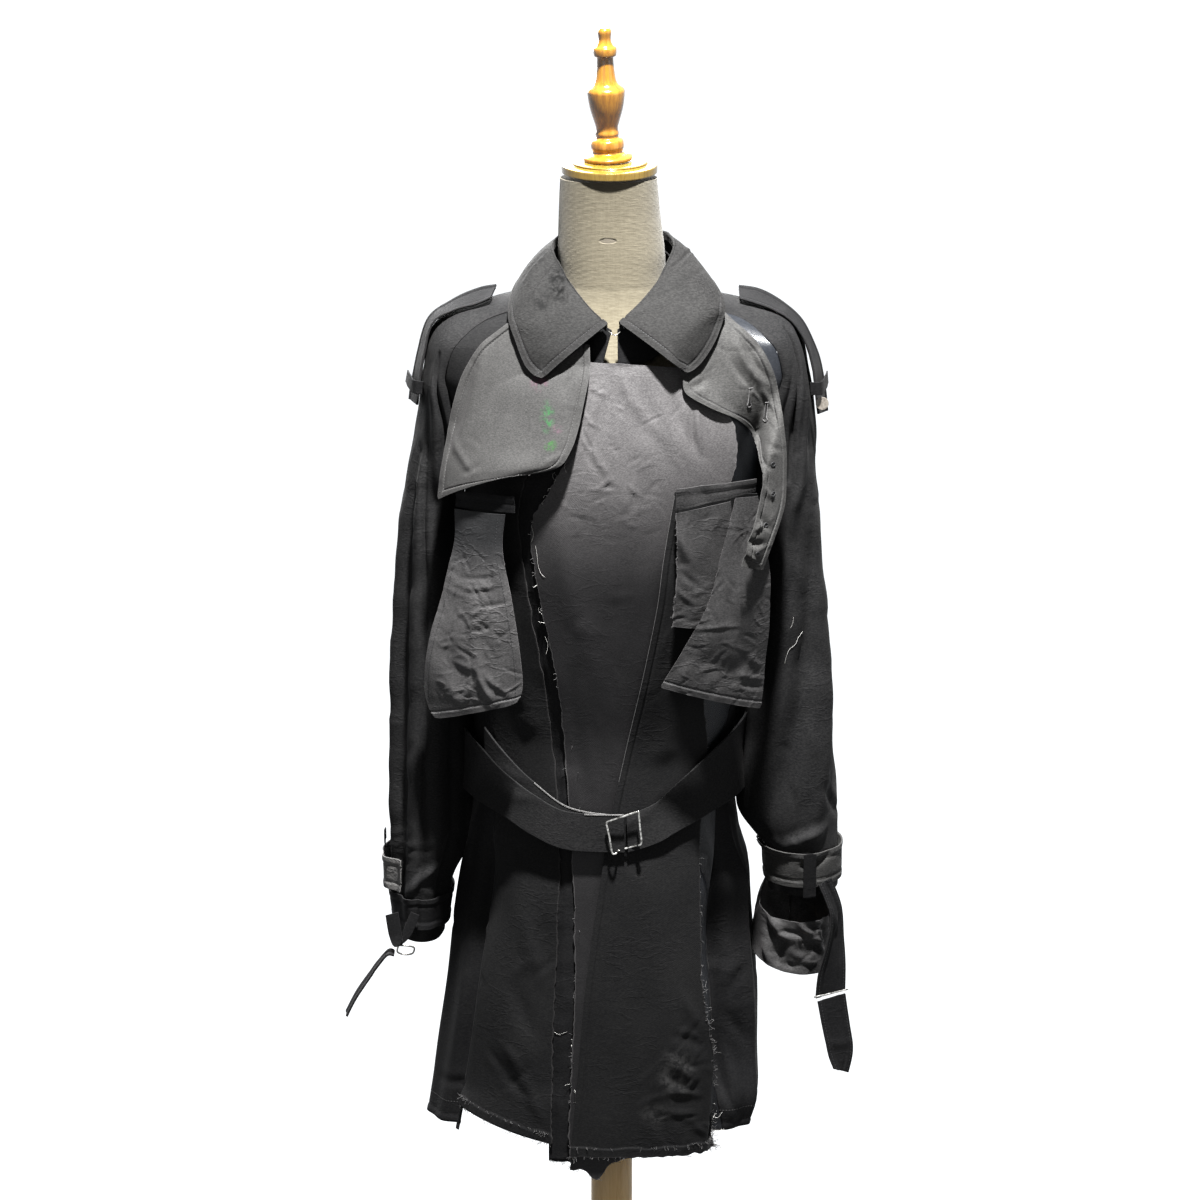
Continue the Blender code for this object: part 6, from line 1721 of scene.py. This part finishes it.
# points along each wire, how finely it runs, radius, sides, closed, metal
wireRows = {
    "belt_buckle": (
        [(-0.006, -0.1445, 0.797), (0.01, -0.146, 0.8028), (0.027, -0.1445, 0.808),
         (0.0284, -0.1445, 0.807), (0.03, -0.145, 0.79), (0.0316, -0.1448, 0.7745),
         (0.029, -0.1445, 0.7708), (0.0262, -0.1395, 0.769), (0.015, -0.138, 0.7655),
         (0.0065, -0.1395, 0.7632), (0.004, -0.1445, 0.7616), (0.0, -0.1448, 0.7626),
         (-0.003, -0.145, 0.78), (-0.0066, -0.1445, 0.7962)], 66, 0.0012, 10, True, nickel),
    "throat_hook": (
        [(-0.004, -0.112, 1.327), (-0.001, -0.115, 1.3246), (0.002, -0.1158, 1.3232),
         (0.005, -0.115, 1.324), (0.008, -0.112, 1.326)], 30, 0.0007, 8, False, nickel),
    "cuff_ring_right": (
        [(-0.2345, -0.079, 0.638), (-0.226, -0.0792, 0.6378), (-0.2185, -0.079, 0.636),
         (-0.2178, -0.0795, 0.6325), (-0.2205, -0.08, 0.6288), (-0.228, -0.0802, 0.628),
         (-0.2355, -0.08, 0.6302), (-0.2362, -0.0795, 0.634),
         (-0.235, -0.079, 0.6375)], 50, 0.001, 8, True, shadedNickel),
    "cuff_buckle_left": (
        [(0.223, -0.0815, 0.5795), (0.242, -0.075, 0.5818), (0.261, -0.068, 0.5845)], 12, 0.0011, 8, False,
        nickel),
}
for name, (line, count, radius, turns, closed, metal) in wireRows.items():
    path = throughRows(line, np.linspace(0, 1, count))
    trim[name] = tubes(name + "_wire", [path[:-1] if closed else path], radius, metal, turns, closed)
for name, item in trim.items():
    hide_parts(name)

print("floor, light and camera")
world = bpy.data.worlds.new("studio")
world.use_nodes = True
backdrop = world.node_tree.nodes["Background"]
backdrop.inputs["Color"].default_value = (0.93, 0.95, 0.97, 1.0)
backdrop.inputs["Strength"].default_value = 1.0
# the pale studio is seen, and shines in metal, but the lamps alone light the dark cloth
world.cycles_visibility.diffuse = False
bpy.context.scene.world = world
floorMaterial = plainMaterial("pale floor", (0.1, 0.1, 0.1), (0.12, 0.12, 0.12), 6.0,
                              {"Emission Color": (0.93, 0.95, 0.97), "Emission Strength": 0.97,
                               "Specular IOR Level": 0.0}, 0.9, 0.0)
corners = [(-9, -9, -0.0005), (9, -9, -0.0005), (9, 9, -0.0005), (-9, 9, -0.0005)]
floor = newObject("floor", corners, [(0, 1, 2, 3)])
floor.data.materials.append(floorMaterial)
floor.visible_diffuse = False

# name, kind, place, aim, size, power, cone
lightRows = [
    ("key", "SPOT", (0.16, -0.95, 3.82), (0.01, -0.08, 1.2), 0.1, 1480.0, 28.0),
    ("fill", "AREA", (-1.4, -3.6, 1.7), (0.0, 0.0, 0.9), 2.6, 14.0, 0.0),
    ("side", "AREA", (3.0, -1.6, 1.6), (0.0, 0.0, 0.9), 2.0, 12.0, 0.0),
    ("back", "AREA", (-0.8, 3.2, 2.4), (0.0, 0.0, 1.0), 2.4, 150.0, 0.0),
]
for name, kind, place, aim, size, power, cone in lightRows:
    lamp = bpy.data.lights.new(name, kind)
    lamp.energy = power
    if kind == "SPOT":
        lamp.shadow_soft_size = size
        lamp.spot_size = math.radians(cone)
        lamp.spot_blend = 1.0
    else:
        lamp.size = size
    item = bpy.data.objects.new(name, lamp)
    item.location = place
    item.rotation_euler = (Vector(aim) - Vector(place)).to_track_quat("-Z", "Y").to_euler()
    bpy.context.scene.collection.objects.link(item)

lens = bpy.data.cameras.new("camera")
lens.sensor_width = 36.0
lens.lens = 136.36
camera = bpy.data.objects.new("camera", lens)
aim = Vector((-0.0132, 0.0, 1.01))
rise = math.radians(12.5)
cameraDistance = 5.0
camera.location = aim + cameraDistance * Vector((0.0, -math.cos(rise), math.sin(rise)))
camera.rotation_euler = (aim - camera.location).to_track_quat("-Z", "Y").to_euler()
bpy.context.scene.collection.objects.link(camera)
bpy.context.scene.camera = camera
bpy.context.scene.view_settings.view_transform = "Standard"
bpy.context.scene.view_settings.look = "Medium High Contrast"
